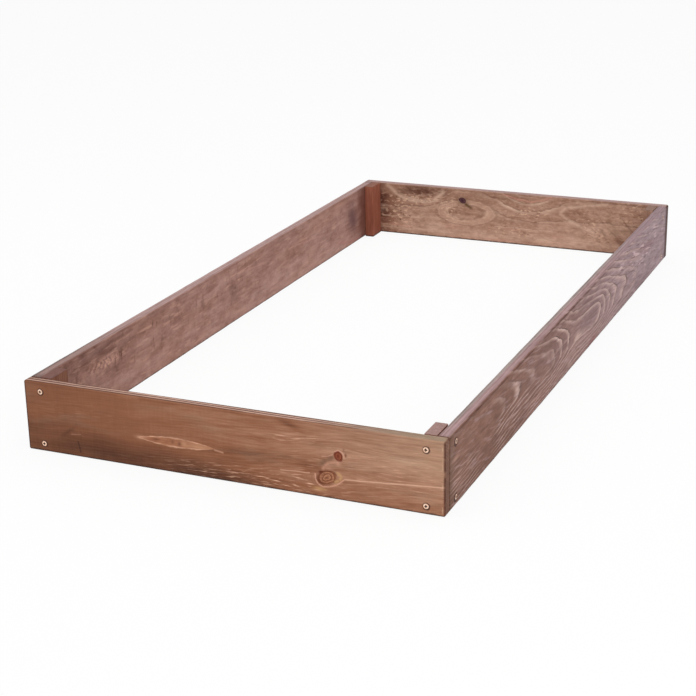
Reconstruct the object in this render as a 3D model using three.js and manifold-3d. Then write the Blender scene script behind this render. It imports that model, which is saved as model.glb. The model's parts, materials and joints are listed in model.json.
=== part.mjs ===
// A raised garden bed: four softwood boards standing on edge, screwed to four upright corner battens.
// Millimetres, +Z up. The origin is on the ground under the middle of the bed.
// X runs along the two short end boards and Y along the two long side boards.

import * as THREE from 'three';
import { mergeVertices } from 'three/addons/utils/BufferGeometryUtils.js';
import Module from 'manifold-3d';

// ---------- driving dimensions ----------

// The bed over all.
const BED_LENGTH = 1800;
const BED_WIDTH = 900;

// Boards: one height all round, so that the tops and bottoms are flush.
const BOARD_HEIGHT = 150;
const END_BOARD_THICKNESS = 25;
const SIDE_BOARD_THICKNESS = 25;
const BOARD_EDGE_RADIUS = 4;
const BOARD_END_EASING = 0.8;

// Corner battens stand upright with their broad face against the side board.
const BATTEN_WIDTH = 25;
const BATTEN_DEPTH = 60;
const BATTEN_EDGE_RADIUS = 2.5;
const BATTEN_END_EASING = 0.6;

// Timber faces that are screwed together stay this far apart.
const JOINT_GAP = 0.3;

// Countersunk wood screws with a cross recess.
const SCREW_LENGTH = 45;
const SCREW_HEAD_DIAMETER = 11;
const SCREW_THREAD_DIAMETER = 5.5;
const SCREW_SHANK_DIAMETER = 4.2;
const SCREW_SHANK_LENGTH = 18;
const SCREW_POINT_LENGTH = 7;
const SCREW_RIM_HEIGHT = 0.5;
const HEAD_SINK = 0.4;

// The recess: four wings that narrow towards its floor.
const RECESS_SPAN = 6.2;
const RECESS_WING_WIDTH = 1.6;
const RECESS_DEPTH = 3;
const RECESS_FLOOR_SHARE = 0.45;

// Where the screws go in: heights from the board's edges, and off-centre on the batten.
const SCREW_BELOW_TOP = 21;
const SCREW_ABOVE_BOTTOM = 17;
const SIDE_SCREW_PAST_BATTEN_CENTRE = 5;

// Room round a screw in the timber.
const SCREW_CLEARANCE = 0.3;

// Smoothness of the round shapes.
const EDGE_ARC_STEPS = 4;
const SCREW_SIDES = 20;

// ---------- sizes worked out from them ----------

const END_BOARD_LENGTH = BED_WIDTH;
const SIDE_BOARD_LENGTH = BED_LENGTH - 2 * (END_BOARD_THICKNESS + JOINT_GAP);
const END_BOARD_Y = (BED_LENGTH - END_BOARD_THICKNESS) / 2;
const SIDE_BOARD_X = (BED_WIDTH - SIDE_BOARD_THICKNESS) / 2;
const BATTEN_X = BED_WIDTH / 2 - SIDE_BOARD_THICKNESS - JOINT_GAP - BATTEN_WIDTH / 2;
const BATTEN_Y = BED_LENGTH / 2 - END_BOARD_THICKNESS - JOINT_GAP - BATTEN_DEPTH / 2;
const SIDE_SCREW_Y = BATTEN_Y - SIDE_SCREW_PAST_BATTEN_CENTRE;

// ---------- solids: the bridge to the boolean library ----------

const wasm = await Module();
wasm.setup();

// A closed geometry as a solid, in the place that the matrix gives it.
function solidOf(geometry, matrix = new THREE.Matrix4()) {
  const bare = geometry.clone().applyMatrix4(matrix);
  bare.deleteAttribute('normal');
  bare.deleteAttribute('uv');
  const merged = mergeVertices(bare, 1e-4);
  return new wasm.Manifold(new wasm.Mesh({
    numProp: 3,
    vertProperties: new Float32Array(merged.attributes.position.array),
    triVerts: new Uint32Array(merged.index.array),
  }));
}

// The solid's triangles as a geometry with flat-shaded normals.
function geometryOf(solid) {
  const { vertProperties, triVerts } = solid.getMesh();
  const geometry = new THREE.BufferGeometry();
  geometry.setAttribute('position', new THREE.BufferAttribute(vertProperties, 3));
  geometry.setIndex(new THREE.BufferAttribute(triVerts, 1));
  geometry.computeVertexNormals();
  return geometry;
}

// ---------- timber ----------

// A rectangle about the origin with its four corners rounded.
function roundedRectangle(width, height, radius) {
  const right = width / 2;
  const top = height / 2;
  const shape = new THREE.Shape();
  shape.moveTo(right, radius - top);
  shape.lineTo(right, top - radius);
  shape.absarc(right - radius, top - radius, radius, 0, Math.PI / 2);
  shape.lineTo(radius - right, top);
  shape.absarc(radius - right, top - radius, radius, Math.PI / 2, Math.PI);
  shape.lineTo(-right, radius - top);
  shape.absarc(radius - right, radius - top, radius, Math.PI, 1.5 * Math.PI);
  shape.lineTo(right - radius, -top);
  shape.absarc(right - radius, radius - top, radius, 1.5 * Math.PI, 2 * Math.PI);
  return shape;
}

// A planed length of timber about the origin: its rounded section runs along Z,
// and a small chamfer eases both sawn ends.
function timber(width, height, radius, length, easing) {
  const geometry = new THREE.ExtrudeGeometry(roundedRectangle(width, height, radius), {
    depth: length - 2 * easing,
    curveSegments: EDGE_ARC_STEPS,
    bevelEnabled: true,
    bevelThickness: easing,
    bevelSize: easing,
    bevelOffset: -easing,
    bevelSegments: 1,
  });
  return geometry.translate(0, 0, easing - length / 2);
}

// A board that lies along Y and stands on edge, with its middle at the origin.
function sideBoardBlank() {
  const blank = timber(
    SIDE_BOARD_THICKNESS, BOARD_HEIGHT, BOARD_EDGE_RADIUS, SIDE_BOARD_LENGTH, BOARD_END_EASING,
  );
  return blank.rotateX(Math.PI / 2);
}

// A board that lies along X and stands on edge, with its middle at the origin.
function endBoardBlank() {
  const blank = timber(
    END_BOARD_THICKNESS, BOARD_HEIGHT, BOARD_EDGE_RADIUS, END_BOARD_LENGTH, BOARD_END_EASING,
  );
  return blank.rotateX(Math.PI / 2).rotateZ(Math.PI / 2);
}

// An upright batten, as high as the boards.
function battenBlank() {
  return timber(
    BATTEN_WIDTH, BATTEN_DEPTH, BATTEN_EDGE_RADIUS, BOARD_HEIGHT, BATTEN_END_EASING,
  );
}

// ---------- screws ----------

// Both profiles below run down the axis from the head (Y is depth, turned negative).
function lathe(points) {
  const profile = points.map(([radius, depth]) => new THREE.Vector2(radius, -depth));
  return new THREE.LatheGeometry(profile.reverse(), SCREW_SIDES);
}

// The screw's body: flat head with a thin rim, a 90 degree cone, a smooth shank,
// the threaded length at its outside diameter, and the point.
function screwBody() {
  const head = SCREW_HEAD_DIAMETER / 2;
  const shank = SCREW_SHANK_DIAMETER / 2;
  const thread = SCREW_THREAD_DIAMETER / 2;
  return lathe([
    [0, 0],
    [head, 0],
    [head, SCREW_RIM_HEIGHT],
    [shank, SCREW_RIM_HEIGHT + head - shank],
    [shank, SCREW_SHANK_LENGTH],
    [thread, SCREW_SHANK_LENGTH + thread - shank],
    [thread, SCREW_LENGTH - SCREW_POINT_LENGTH],
    [0, SCREW_LENGTH],
  ]);
}

// The countersink and drilled hole that a screw needs in timber.
function screwHole() {
  const head = SCREW_HEAD_DIAMETER / 2 + SCREW_CLEARANCE;
  const bore = SCREW_THREAD_DIAMETER / 2 + SCREW_CLEARANCE;
  const above = 2 * HEAD_SINK + BOARD_EDGE_RADIUS;
  const coneStart = SCREW_RIM_HEIGHT + SCREW_CLEARANCE / 2;
  return lathe([
    [0, -above],
    [head, -above],
    [head, coneStart],
    [bore, coneStart + head - bore],
    [bore, SCREW_LENGTH + SCREW_CLEARANCE],
    [0, SCREW_LENGTH + SCREW_CLEARANCE],
  ]);
}

// The driver's recess: an upright cross whose wings draw in towards the floor.
function crossRecess() {
  const reach = RECESS_SPAN / 2;
  const half = RECESS_WING_WIDTH / 2;
  const cross = new THREE.Shape();
  cross.moveTo(reach, -half);
  for (let quarter = 0; quarter < 4; quarter += 1) {
    const turn = quarter * Math.PI / 2;
    for (const [x, y] of [[reach, -half], [reach, half], [half, half]]) {
      cross.lineTo(
        x * Math.cos(turn) - y * Math.sin(turn),
        x * Math.sin(turn) + y * Math.cos(turn),
      );
    }
  }
  const above = RECESS_DEPTH / 2;
  const prism = new THREE.ExtrudeGeometry(cross, {
    depth: RECESS_DEPTH + above,
    bevelEnabled: false,
  });
  prism.rotateX(-Math.PI / 2).translate(0, -RECESS_DEPTH, 0);
  const corners = prism.attributes.position;
  for (let i = 0; i < corners.count; i += 1) {
    const height = corners.getY(i) + RECESS_DEPTH;
    const share = RECESS_FLOOR_SHARE + (1 - RECESS_FLOOR_SHARE) * height / RECESS_DEPTH;
    corners.setX(i, corners.getX(i) * share);
    corners.setZ(i, corners.getZ(i) * share);
  }
  return prism;
}

// Every screw of the bed: where its head sits, which way it points, and what it goes through.
function planScrews() {
  const levels = [
    ['top', BOARD_HEIGHT - SCREW_BELOW_TOP],
    ['bottom', SCREW_ABOVE_BOTTOM],
  ];
  const plan = [];
  for (const [endName, endSign] of [['front', -1], ['back', 1]]) {
    for (const [sideName, sideSign] of [['left', -1], ['right', 1]]) {
      const corner = `${endName}_${sideName}`;
      for (const [level, z] of levels) {
        plan.push({
          name: `screw_${corner}_end_${level}`,
          corner,
          board: `${endName}_end_board`,
          head: new THREE.Vector3(sideSign * BATTEN_X, endSign * (BED_LENGTH / 2 - HEAD_SINK), z),
          inward: new THREE.Vector3(0, -endSign, 0),
        });
        plan.push({
          name: `screw_${corner}_side_${level}`,
          corner,
          board: `${sideName}_side_board`,
          head: new THREE.Vector3(sideSign * (BED_WIDTH / 2 - HEAD_SINK), endSign * SIDE_SCREW_Y, z),
          inward: new THREE.Vector3(-sideSign, 0, 0),
        });
      }
    }
  }
  return plan;
}

// The turn that lays a screw, modelled point down along -Y, along its direction.
function screwTurn(screw) {
  const pointDown = new THREE.Vector3(0, -1, 0);
  return new THREE.Quaternion().setFromUnitVectors(pointDown, screw.inward);
}

// ---------- assembly ----------

const ONE = new THREE.Vector3(1, 1, 1);

function paint(colour, roughness, metalness) {
  return new THREE.MeshStandardMaterial({ color: colour, roughness, metalness, flatShading: true });
}

// Cuts the holes of the given screws out of a piece of timber that stands at its place.
function drill(blank, place, screws) {
  const toPiece = new THREE.Matrix4().makeTranslation(place.clone().negate());
  let piece = solidOf(blank);
  for (const screw of screws) {
    const hole = new THREE.Matrix4().compose(screw.head, screwTurn(screw), ONE).premultiply(toPiece);
    piece = piece.subtract(solidOf(screwHole(), hole));
  }
  return geometryOf(piece);
}

const bed = new THREE.Group();
const screws = planScrews();
const midHeight = BOARD_HEIGHT / 2;

function addTimber(name, blank, place, itsScrews, colour) {
  const mesh = new THREE.Mesh(drill(blank, place, itsScrews), paint(colour, 0.8, 0));
  mesh.name = name;
  mesh.position.copy(place);
  bed.add(mesh);
}

const boards = [
  ['front_end_board', endBoardBlank(), new THREE.Vector3(0, -END_BOARD_Y, midHeight), 0x8a5c44],
  ['back_end_board', endBoardBlank(), new THREE.Vector3(0, END_BOARD_Y, midHeight), 0x94705a],
  ['left_side_board', sideBoardBlank(), new THREE.Vector3(-SIDE_BOARD_X, 0, midHeight), 0x8b6155],
  ['right_side_board', sideBoardBlank(), new THREE.Vector3(SIDE_BOARD_X, 0, midHeight), 0x7f6055],
];
for (const [name, blank, place, colour] of boards) {
  addTimber(name, blank, place, screws.filter((screw) => screw.board === name), colour);
}

for (const [endName, endSign] of [['front', -1], ['back', 1]]) {
  for (const [sideName, sideSign] of [['left', -1], ['right', 1]]) {
    const corner = `${endName}_${sideName}`;
    const place = new THREE.Vector3(sideSign * BATTEN_X, endSign * BATTEN_Y, midHeight);
    const itsScrews = screws.filter((screw) => screw.corner === corner);
    addTimber(`corner_batten_${corner}`, battenBlank(), place, itsScrews, 0x7c4d3c);
  }
}

const screwGeometry = geometryOf(solidOf(screwBody()).subtract(solidOf(crossRecess())));
for (const screw of screws) {
  const mesh = new THREE.Mesh(screwGeometry, paint(0xd9b48f, 0.35, 0.9));
  mesh.name = screw.name;
  mesh.position.copy(screw.head);
  mesh.quaternion.copy(screwTurn(screw));
  bed.add(mesh);
}

export default bed;
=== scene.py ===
# %% [markdown]
# # A raised garden bed in stained softwood
#
# The bed is a bottomless box: two short end boards, two long side boards, an upright batten in
# each inside corner and sixteen countersunk screws. The CAD model gives every piece its size and
# its place. This lesson gives each one its looks: eased edges, drilled holes, cut threads, and
# wood whose rings, knots and stain are worked out from how a board is sawn from a tree.
#
# We start with the CAD frame. Every piece that we model later takes its place from one of its
# nodes, so nothing has to be fitted by eye.

# %% Load the frame
import json
import math
from collections import namedtuple

import bmesh
import bpy
from mathutils import Matrix, Vector

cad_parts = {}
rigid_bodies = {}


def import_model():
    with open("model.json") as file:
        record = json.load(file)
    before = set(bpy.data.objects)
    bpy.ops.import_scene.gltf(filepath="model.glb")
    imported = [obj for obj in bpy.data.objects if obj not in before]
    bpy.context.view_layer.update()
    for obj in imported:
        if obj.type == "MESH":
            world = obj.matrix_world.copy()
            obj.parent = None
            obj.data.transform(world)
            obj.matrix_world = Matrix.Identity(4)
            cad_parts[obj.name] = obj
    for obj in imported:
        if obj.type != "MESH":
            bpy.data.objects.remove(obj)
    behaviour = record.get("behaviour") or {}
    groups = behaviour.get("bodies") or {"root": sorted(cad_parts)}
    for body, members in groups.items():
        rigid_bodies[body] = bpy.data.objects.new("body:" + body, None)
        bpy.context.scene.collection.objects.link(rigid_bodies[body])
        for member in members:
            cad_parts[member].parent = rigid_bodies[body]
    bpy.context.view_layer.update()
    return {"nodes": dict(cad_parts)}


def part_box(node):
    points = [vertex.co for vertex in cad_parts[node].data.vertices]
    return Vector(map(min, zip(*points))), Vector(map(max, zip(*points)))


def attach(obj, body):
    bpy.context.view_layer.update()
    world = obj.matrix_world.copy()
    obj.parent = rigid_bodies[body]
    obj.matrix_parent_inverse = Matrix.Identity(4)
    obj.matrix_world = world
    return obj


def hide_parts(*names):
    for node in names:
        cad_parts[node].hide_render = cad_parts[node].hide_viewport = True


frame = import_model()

print("CAD nodes:", len(frame["nodes"]))

# %% [markdown]
# ## Camera
#
# The bed is seen from its front right corner, from a little above, through a long lens: the far
# end looks almost as wide as the near one. Such a view could be found by turning the camera by
# hand. Here its place, turn and focal length come from a pinhole camera fitted to the corners of
# the bed, so they are given as three measured values.

# %% Camera
CAMERA_PLACE = (1.3562, -3.3971, 1.2755)
CAMERA_TURN = (70.427, 1.023, 23.282)
FOCAL_LENGTH_PER_PICTURE_WIDTH = 2.3032
SENSOR_WIDTH = 36.0

bpy.ops.object.camera_add(
    location=CAMERA_PLACE,
    rotation=[math.radians(angle) for angle in CAMERA_TURN],
)
camera = bpy.context.object
camera.data.sensor_width = SENSOR_WIDTH
camera.data.lens = SENSOR_WIDTH * FOCAL_LENGTH_PER_PICTURE_WIDTH
bpy.context.scene.camera = camera
bpy.context.scene.view_settings.view_transform = "Standard"
print("lens in mm:", round(camera.data.lens, 1))

# %% [markdown]
# ## A socket that can do sums
#
# A shader is a graph of small nodes, and a graph of sums is hard to read as a list of nodes and
# links. So one small class wraps a node's output. Adding two wrapped outputs makes a Math node,
# and every other kind of node comes from one method, which takes its type, its settings and the
# values or links of its sockets.

# %% Socket class
class Socket:
    """One output of a shader node. Sums with it add Math nodes to its tree."""

    def __init__(self, tree, output):
        self.tree = tree
        self.output = output

    def node(self, kind, settings=None, sockets=None, output=0):
        """Adds a node: its settings are set first, then its sockets get values or links."""
        made = self.tree.nodes.new(kind)
        for name, value in (settings or {}).items():
            if name == "stops":
                self.set_stops(made.color_ramp, value)
            else:
                setattr(made, name, value)
        for name, value in (sockets or {}).items():
            if isinstance(value, Socket):
                self.tree.links.new(value.output, made.inputs[name])
            else:
                made.inputs[name].default_value = value
        return Socket(self.tree, made.outputs[output]) if made.outputs else None

    @staticmethod
    def set_stops(ramp, stops):
        """Gives a ramp its stops, each a place from 0 to 1 and a colour."""
        while len(ramp.elements) < len(stops):
            ramp.elements.new(1.0)
        for element, (position, tone) in zip(ramp.elements, stops):
            element.position = position
            element.color = tone

    def math(self, operation, *values):
        """Adds a Math node that works on these values."""
        sockets = dict(enumerate(values))
        return self.node("ShaderNodeMath", {"operation": operation}, sockets)

    def __add__(self, other):
        return self.math("ADD", self, other)

    def __sub__(self, other):
        return self.math("SUBTRACT", self, other)

    def __rsub__(self, other):
        return self.math("SUBTRACT", other, self)

    def __mul__(self, other):
        return self.math("MULTIPLY", self, other)

    def __truediv__(self, other):
        return self.math("DIVIDE", self, other)

    def __pow__(self, other):
        return self.math("POWER", self, other)

    __radd__ = __add__
    __rmul__ = __mul__

    def size(self):
        """The value without its sign."""
        return self.math("ABSOLUTE", self)

    def phase(self):
        """The part after the decimal point: where in its ring a ring count is."""
        return self.math("FRACT", self)

    def least(self, other):
        """The smaller of two values."""
        return self.math("MINIMUM", self, other)

    def most(self, other):
        """The larger of two values."""
        return self.math("MAXIMUM", self, other)

    def bell(self):
        """1 where the value is 0, fading to nothing by about 2 on either side."""
        return self.math("EXPONENT", self * self * -1.0)

    def step(self, low, high):
        """0 below low, 1 above high, and a smooth rise between them."""
        sockets = {"Value": self, "From Min": low, "From Max": high}
        return self.node("ShaderNodeMapRange", {"interpolation_type": "SMOOTHSTEP"}, sockets)

    def mix(self, first, second):
        """The first colour where this share is 0, the second where it is 1."""
        settings = {"data_type": "RGBA", "clamp_factor": True}
        return self.node("ShaderNodeMix", settings, {0: self, 6: first, 7: second}, output=2)

    def ramp(self, *stops):
        """A colour read off a ramp."""
        return self.node("ShaderNodeValToRGB", {"stops": stops}, {"Fac": self})


def colour(red, green, blue):
    """A colour from screen values of 0 to 255, as a shader wants it."""
    def linear(value):
        share = value / 255
        if share <= 0.04045:
            return share / 12.92
        return ((share + 0.055) / 1.055) ** 2.4
    return (linear(red), linear(green), linear(blue), 1.0)


def start_material(name):
    """An empty material and a first socket, the place on the piece in metres."""
    material = bpy.data.materials.new(name)
    material.use_nodes = True
    tree = material.node_tree
    tree.nodes.clear()
    where = Socket(tree, tree.nodes.new("ShaderNodeTexCoord").outputs["Object"])
    return material, where


def end_material(surface):
    """Joins a finished shader to the material's output."""
    surface.node("ShaderNodeOutputMaterial", {}, {"Surface": surface})


print("colour of the plain stained board:", [round(c, 3) for c in colour(145, 99, 77)[:3]])

# %% [markdown]
# ## Studio
#
# The bed stands in a white studio with no horizon. A white room could be built from walls, but a
# plain floor under an even sky does the same. What the camera sees of the sky is pure white, and
# what lights the bed is dimmer, so that a colour renders about as it is written. The floor is
# white paint under a strong white glow that only the camera sees: it reads as white and still
# keeps the soft shadow of the bed. Three square lamps add the soft light of a studio.

# %% Sky
SKY_LIGHT = 0.62
WHITE = (1, 1, 1, 1)


def seen_rays(tree):
    """1 for what the camera sees, also by way of gloss or glass, and 0 for all other light."""
    light_path = tree.nodes.new("ShaderNodeLightPath")
    camera_ray, glossy_ray, glass_ray = (
        Socket(tree, light_path.outputs[name])
        for name in ("Is Camera Ray", "Is Glossy Ray", "Is Transmission Ray")
    )
    return (camera_ray + glossy_ray + glass_ray).least(1.0)


world = bpy.data.worlds.new("white_studio")
bpy.context.scene.world = world
world.use_nodes = True
world.node_tree.nodes.clear()
seen = seen_rays(world.node_tree)
sky_strength = seen * (1 - SKY_LIGHT) + SKY_LIGHT
sky = seen.node("ShaderNodeBackground", {}, {"Color": WHITE, "Strength": sky_strength})
sky.node("ShaderNodeOutputWorld", {}, {"Surface": sky})
print("sky light:", SKY_LIGHT)

# %% Floor
FLOOR_SIZE = 40.0
FLOOR_WHITE = (0.93, 0.93, 0.93, 1)
FLOOR_GLOW_SHARE = 0.9

bpy.ops.object.select_all(action="DESELECT")
bpy.ops.mesh.primitive_plane_add(size=FLOOR_SIZE, location=(0, 0, 0))
floor = bpy.context.object
floor.name = "studio_floor"

floor_paint, where = start_material("white_floor")
paint = where.node("ShaderNodeBsdfDiffuse", {}, {"Color": FLOOR_WHITE})
glow = where.node("ShaderNodeEmission", {}, {"Color": WHITE, "Strength": 1.0})
glow_share = seen_rays(floor_paint.node_tree) * FLOOR_GLOW_SHARE
end_material(where.node("ShaderNodeMixShader", {}, {0: glow_share, 1: paint, 2: glow}))
floor.data.materials.append(floor_paint)
print("floor:", FLOOR_SIZE, "m square")

# %% Lamps
def softbox(name, place, width, watts):
    """A square lamp at a place, turned to the middle of the bed."""
    bpy.ops.object.select_all(action="DESELECT")
    bpy.ops.object.light_add(type="AREA", location=place)
    lamp = bpy.context.object
    lamp.name = name
    lamp.data.size = width
    lamp.data.energy = watts
    lamp.rotation_euler = (-Vector(place)).to_track_quat("-Z", "Y").to_euler()


softbox("overhead", place=(0.3, -0.4, 4.2), width=4.5, watts=62)
softbox("by_the_camera", place=(3.4, -4.2, 2.4), width=2.6, watts=75)
softbox("from_the_left", place=(-3.6, -3.2, 2.2), width=3.0, watts=18)
print("lamps:", sum(1 for thing in bpy.data.objects if thing.type == "LIGHT"))

# %% [markdown]
# ## Where a point is on a board
#
# All boards lie along X or Y and stand on edge, so one set of words does for every one of them:
# how far along the board a point is, how high, and how deep behind its outer face, all in
# millimetres. The materials are written in these words. They read Object coordinates: every
# finished piece keeps its object at the origin, so these are places in the bed itself, counted
# along a board from the bed's middle and up from the ground.

# %% Places on a board
X_AXIS, Y_AXIS, Z_AXIS = 0, 1, 2
MILLIMETRES = 1000
Place = namedtuple("Place", "along height depth")


def in_millimetres(where):
    """The three coordinates of a point that is given in metres."""
    split = where.node("ShaderNodeSeparateXYZ", {}, {0: where})
    return [Socket(split.tree, output) * MILLIMETRES for output in split.output.node.outputs]


def place_on(where, along_axis, depth_axis, outer_face):
    """The place of a point on a board whose outer face is at outer_face metres."""
    point = in_millimetres(where)
    depth = (point[depth_axis] - outer_face * MILLIMETRES).size()
    return Place(point[along_axis], point[Z_AXIS], depth)


print("a place on a board:", ", ".join(Place._fields))

# %% [markdown]
# ## Marks that come back hundreds of times
#
# Noise, the distance from a spot and a drawn stroke are all that the boards' marks are made of.
# Each could be built from its sums wherever it is needed, but the graph would grow to many
# thousands of nodes and be slow to build. So each is made once as a node group, and every mark
# is a single node that stands for the whole group and is fed with its own numbers. One of these
# is a seed, which moves the noise to another part of its pattern, so that no two marks look
# alike and a render comes out the same each time.

# %% Node groups
def node_group(name, inputs, formula):
    """A node group that takes numbers and gives the result of a formula of them."""
    tree = bpy.data.node_groups.new(name, "ShaderNodeTree")
    for label in inputs:
        tree.interface.new_socket(name=label, in_out="INPUT", socket_type="NodeSocketFloat")
    tree.interface.new_socket(name="Result", in_out="OUTPUT", socket_type="NodeSocketFloat")
    entry = tree.nodes.new("NodeGroupInput")
    result = formula(*(Socket(tree, entry.outputs[label]) for label in inputs))
    tree.links.new(result.output, tree.nodes.new("NodeGroupOutput").inputs[0])
    return tree


def noise_formula(along, height, depth, length, width, seed, detail):
    """Noise in spots that are drawn out along the board, spread to about -1 to 1."""
    spot = along.node(
        "ShaderNodeCombineXYZ", {},
        {0: along / length + seed, 1: height / width + seed * 1.7, 2: depth / width},
    )
    texture = spot.node("ShaderNodeTexNoise", {}, {"Vector": spot, "Scale": 1.0, "Detail": detail})
    return (texture - 0.5) * 3.6


def radii_formula(along, height, middle_along, middle_height, radius_along, radius_height, slant):
    """The distance from the middle of an ellipse, as a share of its radius that way."""
    aside = along - middle_along
    upward = height - middle_height - aside * slant
    return ((aside / radius_along) ** 2 + (upward / radius_height) ** 2) ** 0.5


def stroke_formula(along, height, start_along, start_height, forward_along, forward_height, length, width):
    """1 on a straight line of this length from its start, fading over its width."""
    run, rise = along - start_along, height - start_height
    forward = run * forward_along + rise * forward_height
    aside = (rise * forward_along - run * forward_height) / width
    within = forward.step(width * -1.0, width) * (1 - forward.step(length - width, length + width))
    return aside.bell() * within


NOISE = node_group(
    "noise", ("along", "height", "depth", "length", "width", "seed", "detail"), noise_formula,
)
RADII = node_group(
    "radii", ("along", "height", "middle_along", "middle_height", "radius_along", "radius_height", "slant"),
    radii_formula,
)
STROKE = node_group(
    "stroke",
    (
        "along", "height", "start_along", "start_height",
        "forward_along", "forward_height", "length", "width",
    ),
    stroke_formula,
)
print("node groups:", len(bpy.data.node_groups))

# %% Marks on a board
def grouped(group, *values):
    """One node that stands for a whole group, fed with numbers or sockets."""
    labels = [item.name for item in group.interface.items_tree if item.in_out == "INPUT"]
    return values[0].node("ShaderNodeGroup", {"node_tree": group}, dict(zip(labels, values)))


def noise(place, length, width, seed, detail=2.0):
    """Noise of about -1 to 1, in spots this long along the grain and this wide across it."""
    return grouped(NOISE, *place, length, width, seed, detail)


def dashes(place, length, width, seed):
    """0 to 1: scattered short marks that lie along the grain."""
    return noise(place, length, width, seed, 3.0).step(0.1, 0.8)


def radii_from(place, middle, radii, slant=0.0):
    """How far a point is from a middle, in radii: 1 on the rim of that ellipse."""
    return grouped(RADII, place.along, place.height, *middle, *radii, slant)


def patch(place, middle, reach, slant=0.0):
    """1 at a spot on the board, fading out over its reach along and across the grain."""
    return radii_from(place, middle, reach, slant).bell()


def stroke(place, start, end, width):
    """1 on a straight mark from start to end, fading over its width."""
    run, rise = end[0] - start[0], end[1] - start[1]
    length = math.hypot(run, rise)
    return grouped(STROKE, place.along, place.height, *start, run / length, rise / length, length, width)


def path(place, points, width):
    """1 on a line drawn through points, fading over its width."""
    drawn = stroke(place, points[0], points[1], width)
    for start, end in zip(points[1:], points[2:]):
        drawn = drawn.most(stroke(place, start, end, width))
    return drawn


print("marks: noise, dashes, patch, stroke, path")

# %% [markdown]
# ## Growth rings
#
# A trunk grows one ring a year, and a board is a flat slice of it. So the lines on a board are
# where its face cuts a nest of cones round the pith. They could be painted as wavy stripes, but
# stripes don't turn into arches and don't meet the end grain. Here a point's distance from the
# pith is measured, and divided by the width of a ring: the whole part of the result counts the
# rings, and what is left says where in its ring the point is. Late wood is dense and takes less
# stain, so it stays as a thin pale line.
#
# Round a knot the rings part like water round a stone. That comes from squeezing the heights
# near the knot towards its middle before the rings are counted.

# %% Rings
def ring_count(place, pith_height, pith_depth, taper, ring_width):
    """How many rings a point is from the pith. The pith slants away by taper along the board."""
    sideways = place.height - pith_height
    inward = place.depth + place.along * taper + pith_depth
    return (sideways ** 2 + inward ** 2) ** 0.5 / ring_width


def part_round(place, middle, reach, strength):
    """The same board with its grain parted round a knot."""
    from_middle = place.height - middle[1]
    squeeze = patch(place, middle, reach) * strength
    return place._replace(height=place.height - from_middle * squeeze)


def late_wood(rings, rise=0.5, crest=0.86):
    """A pale line for each ring: it comes up slowly and ends sharply."""
    phase = rings.phase()
    return phase.step(rise, crest) * (1 - phase.step(crest + 0.04, 1.0))


def straight_grain(place, seed):
    """Fine fibres along the board, about -1 to 1."""
    long_fibres = noise(place, 160, 2.6, seed, 3.0)
    short_fibres = noise(place, 30, 0.9, seed + 5.0, 2.0)
    return long_fibres * 0.6 + short_fibres * 0.4


print("grain: ring_count, part_round, late_wood, straight_grain")

# %% [markdown]
# ## Knots
#
# A knot is a branch, cut across. Its own rings run round its heart, the bark that once divided
# it from the trunk is a dark line, and the resin in it makes it redder than the board. A branch
# that is cut lengthwise gives a long pale boat instead of a circle.

# %% Knots
def hoop(distance, radius, width):
    """1 on a ring of this radius, in the units of the distance, fading over its width."""
    return ((distance - radius) / width).bell()


def knot_colour(base, place, middle, radii, slant, tones, ring_total, seed, bark):
    """Paints a round knot over a base colour, in a heart tone and a rim tone, inside dark bark."""
    heart, rim = tones
    distance = radii_from(place, middle, radii, slant) + noise(place, 20, 12, seed) * 0.10
    ring_tone = (distance * ring_total + noise(place, 9, 7, seed + 3.0) * 0.3).phase().step(0.1, 0.9)
    knot_wood = (ring_tone * 0.7 + noise(place, 5, 3, seed + 4.0) * 0.3).mix(heart, rim)
    body = 1 - distance.step(0.9, 1.06)
    painted = body.mix(base, knot_wood)
    return (hoop(distance, 1.0, 0.11) * bark).mix(painted, heart)


print("knots: hoop, knot_colour")

# %% [markdown]
# ## What all boards share
#
# The stain lies thin on the planed top edge, which also catches dust and wear, so the top is
# paler than the face and shows its fibres as fine lines; its paler, greyer tones are partly
# painted light and sheen from above as well. The sawn ends drink the stain and are darker.
# Round each screw the driver has bruised the fibres, and the dark ring there is also painted
# shadow of the countersink, moved off the screw by its lean. A dark band along the foot is
# painted shadow where the board meets the floor, and painted shade darkens a line under the top
# arris, the last stretch before the joints and the rounded arrises of the ends. All of this
# could be painted on each board by hand, but it depends only on where a point is on the board,
# so one function finishes every board.

# %% Shared finish
Board = namedtuple("Board", "half_length screw_along end_rounding arris_share")

# The dark rings round the screws are bruised fibres and painted shadow of the countersink.
# How far they lie off their screws along the board, how far they spread beyond the heads,
# both in millimetres, and how much of the stain they cover.
BruiseAndShadow = namedtuple("BruiseAndShadow", "lean spread share")


def middle_of(node):
    """The middle of a CAD node, in millimetres."""
    low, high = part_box(node)
    return (low + high) / 2 * MILLIMETRES


END_BOARD = Board(
    half_length=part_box("front_end_board")[1].x * MILLIMETRES,
    screw_along=middle_of("screw_front_right_end_top").x,
    end_rounding=3.8,
    arris_share=0.95,
)
SIDE_BOARD = Board(
    half_length=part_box("right_side_board")[1].y * MILLIMETRES,
    screw_along=middle_of("screw_back_right_side_top").y,
    end_rounding=0.8,
    arris_share=0.25,
)
BOARD_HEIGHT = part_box("front_end_board")[1].z * MILLIMETRES
SCREW_HEIGHTS = [middle_of(f"screw_front_left_end_{level}").z for level in ("bottom", "top")]
screw_low, screw_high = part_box("screw_front_left_end_top")
HEAD_RADIUS = (screw_high.x - screw_low.x) / 2
BRUISE_AND_SHADOW_START = HEAD_RADIUS * MILLIMETRES + 0.4
BRUISE_AND_SHADOW_WIDTH = 2.8
RIM_LINE_DROP = 4.0
RIM_LINE_WIDTH = 2.2
TOP_RING_WIDTH = 8.0
END_RING_WIDTH = 5.5
ARRIS_LINE_WIDTH = 1.8
CORNER_SHADE_LENGTH = 24
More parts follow.
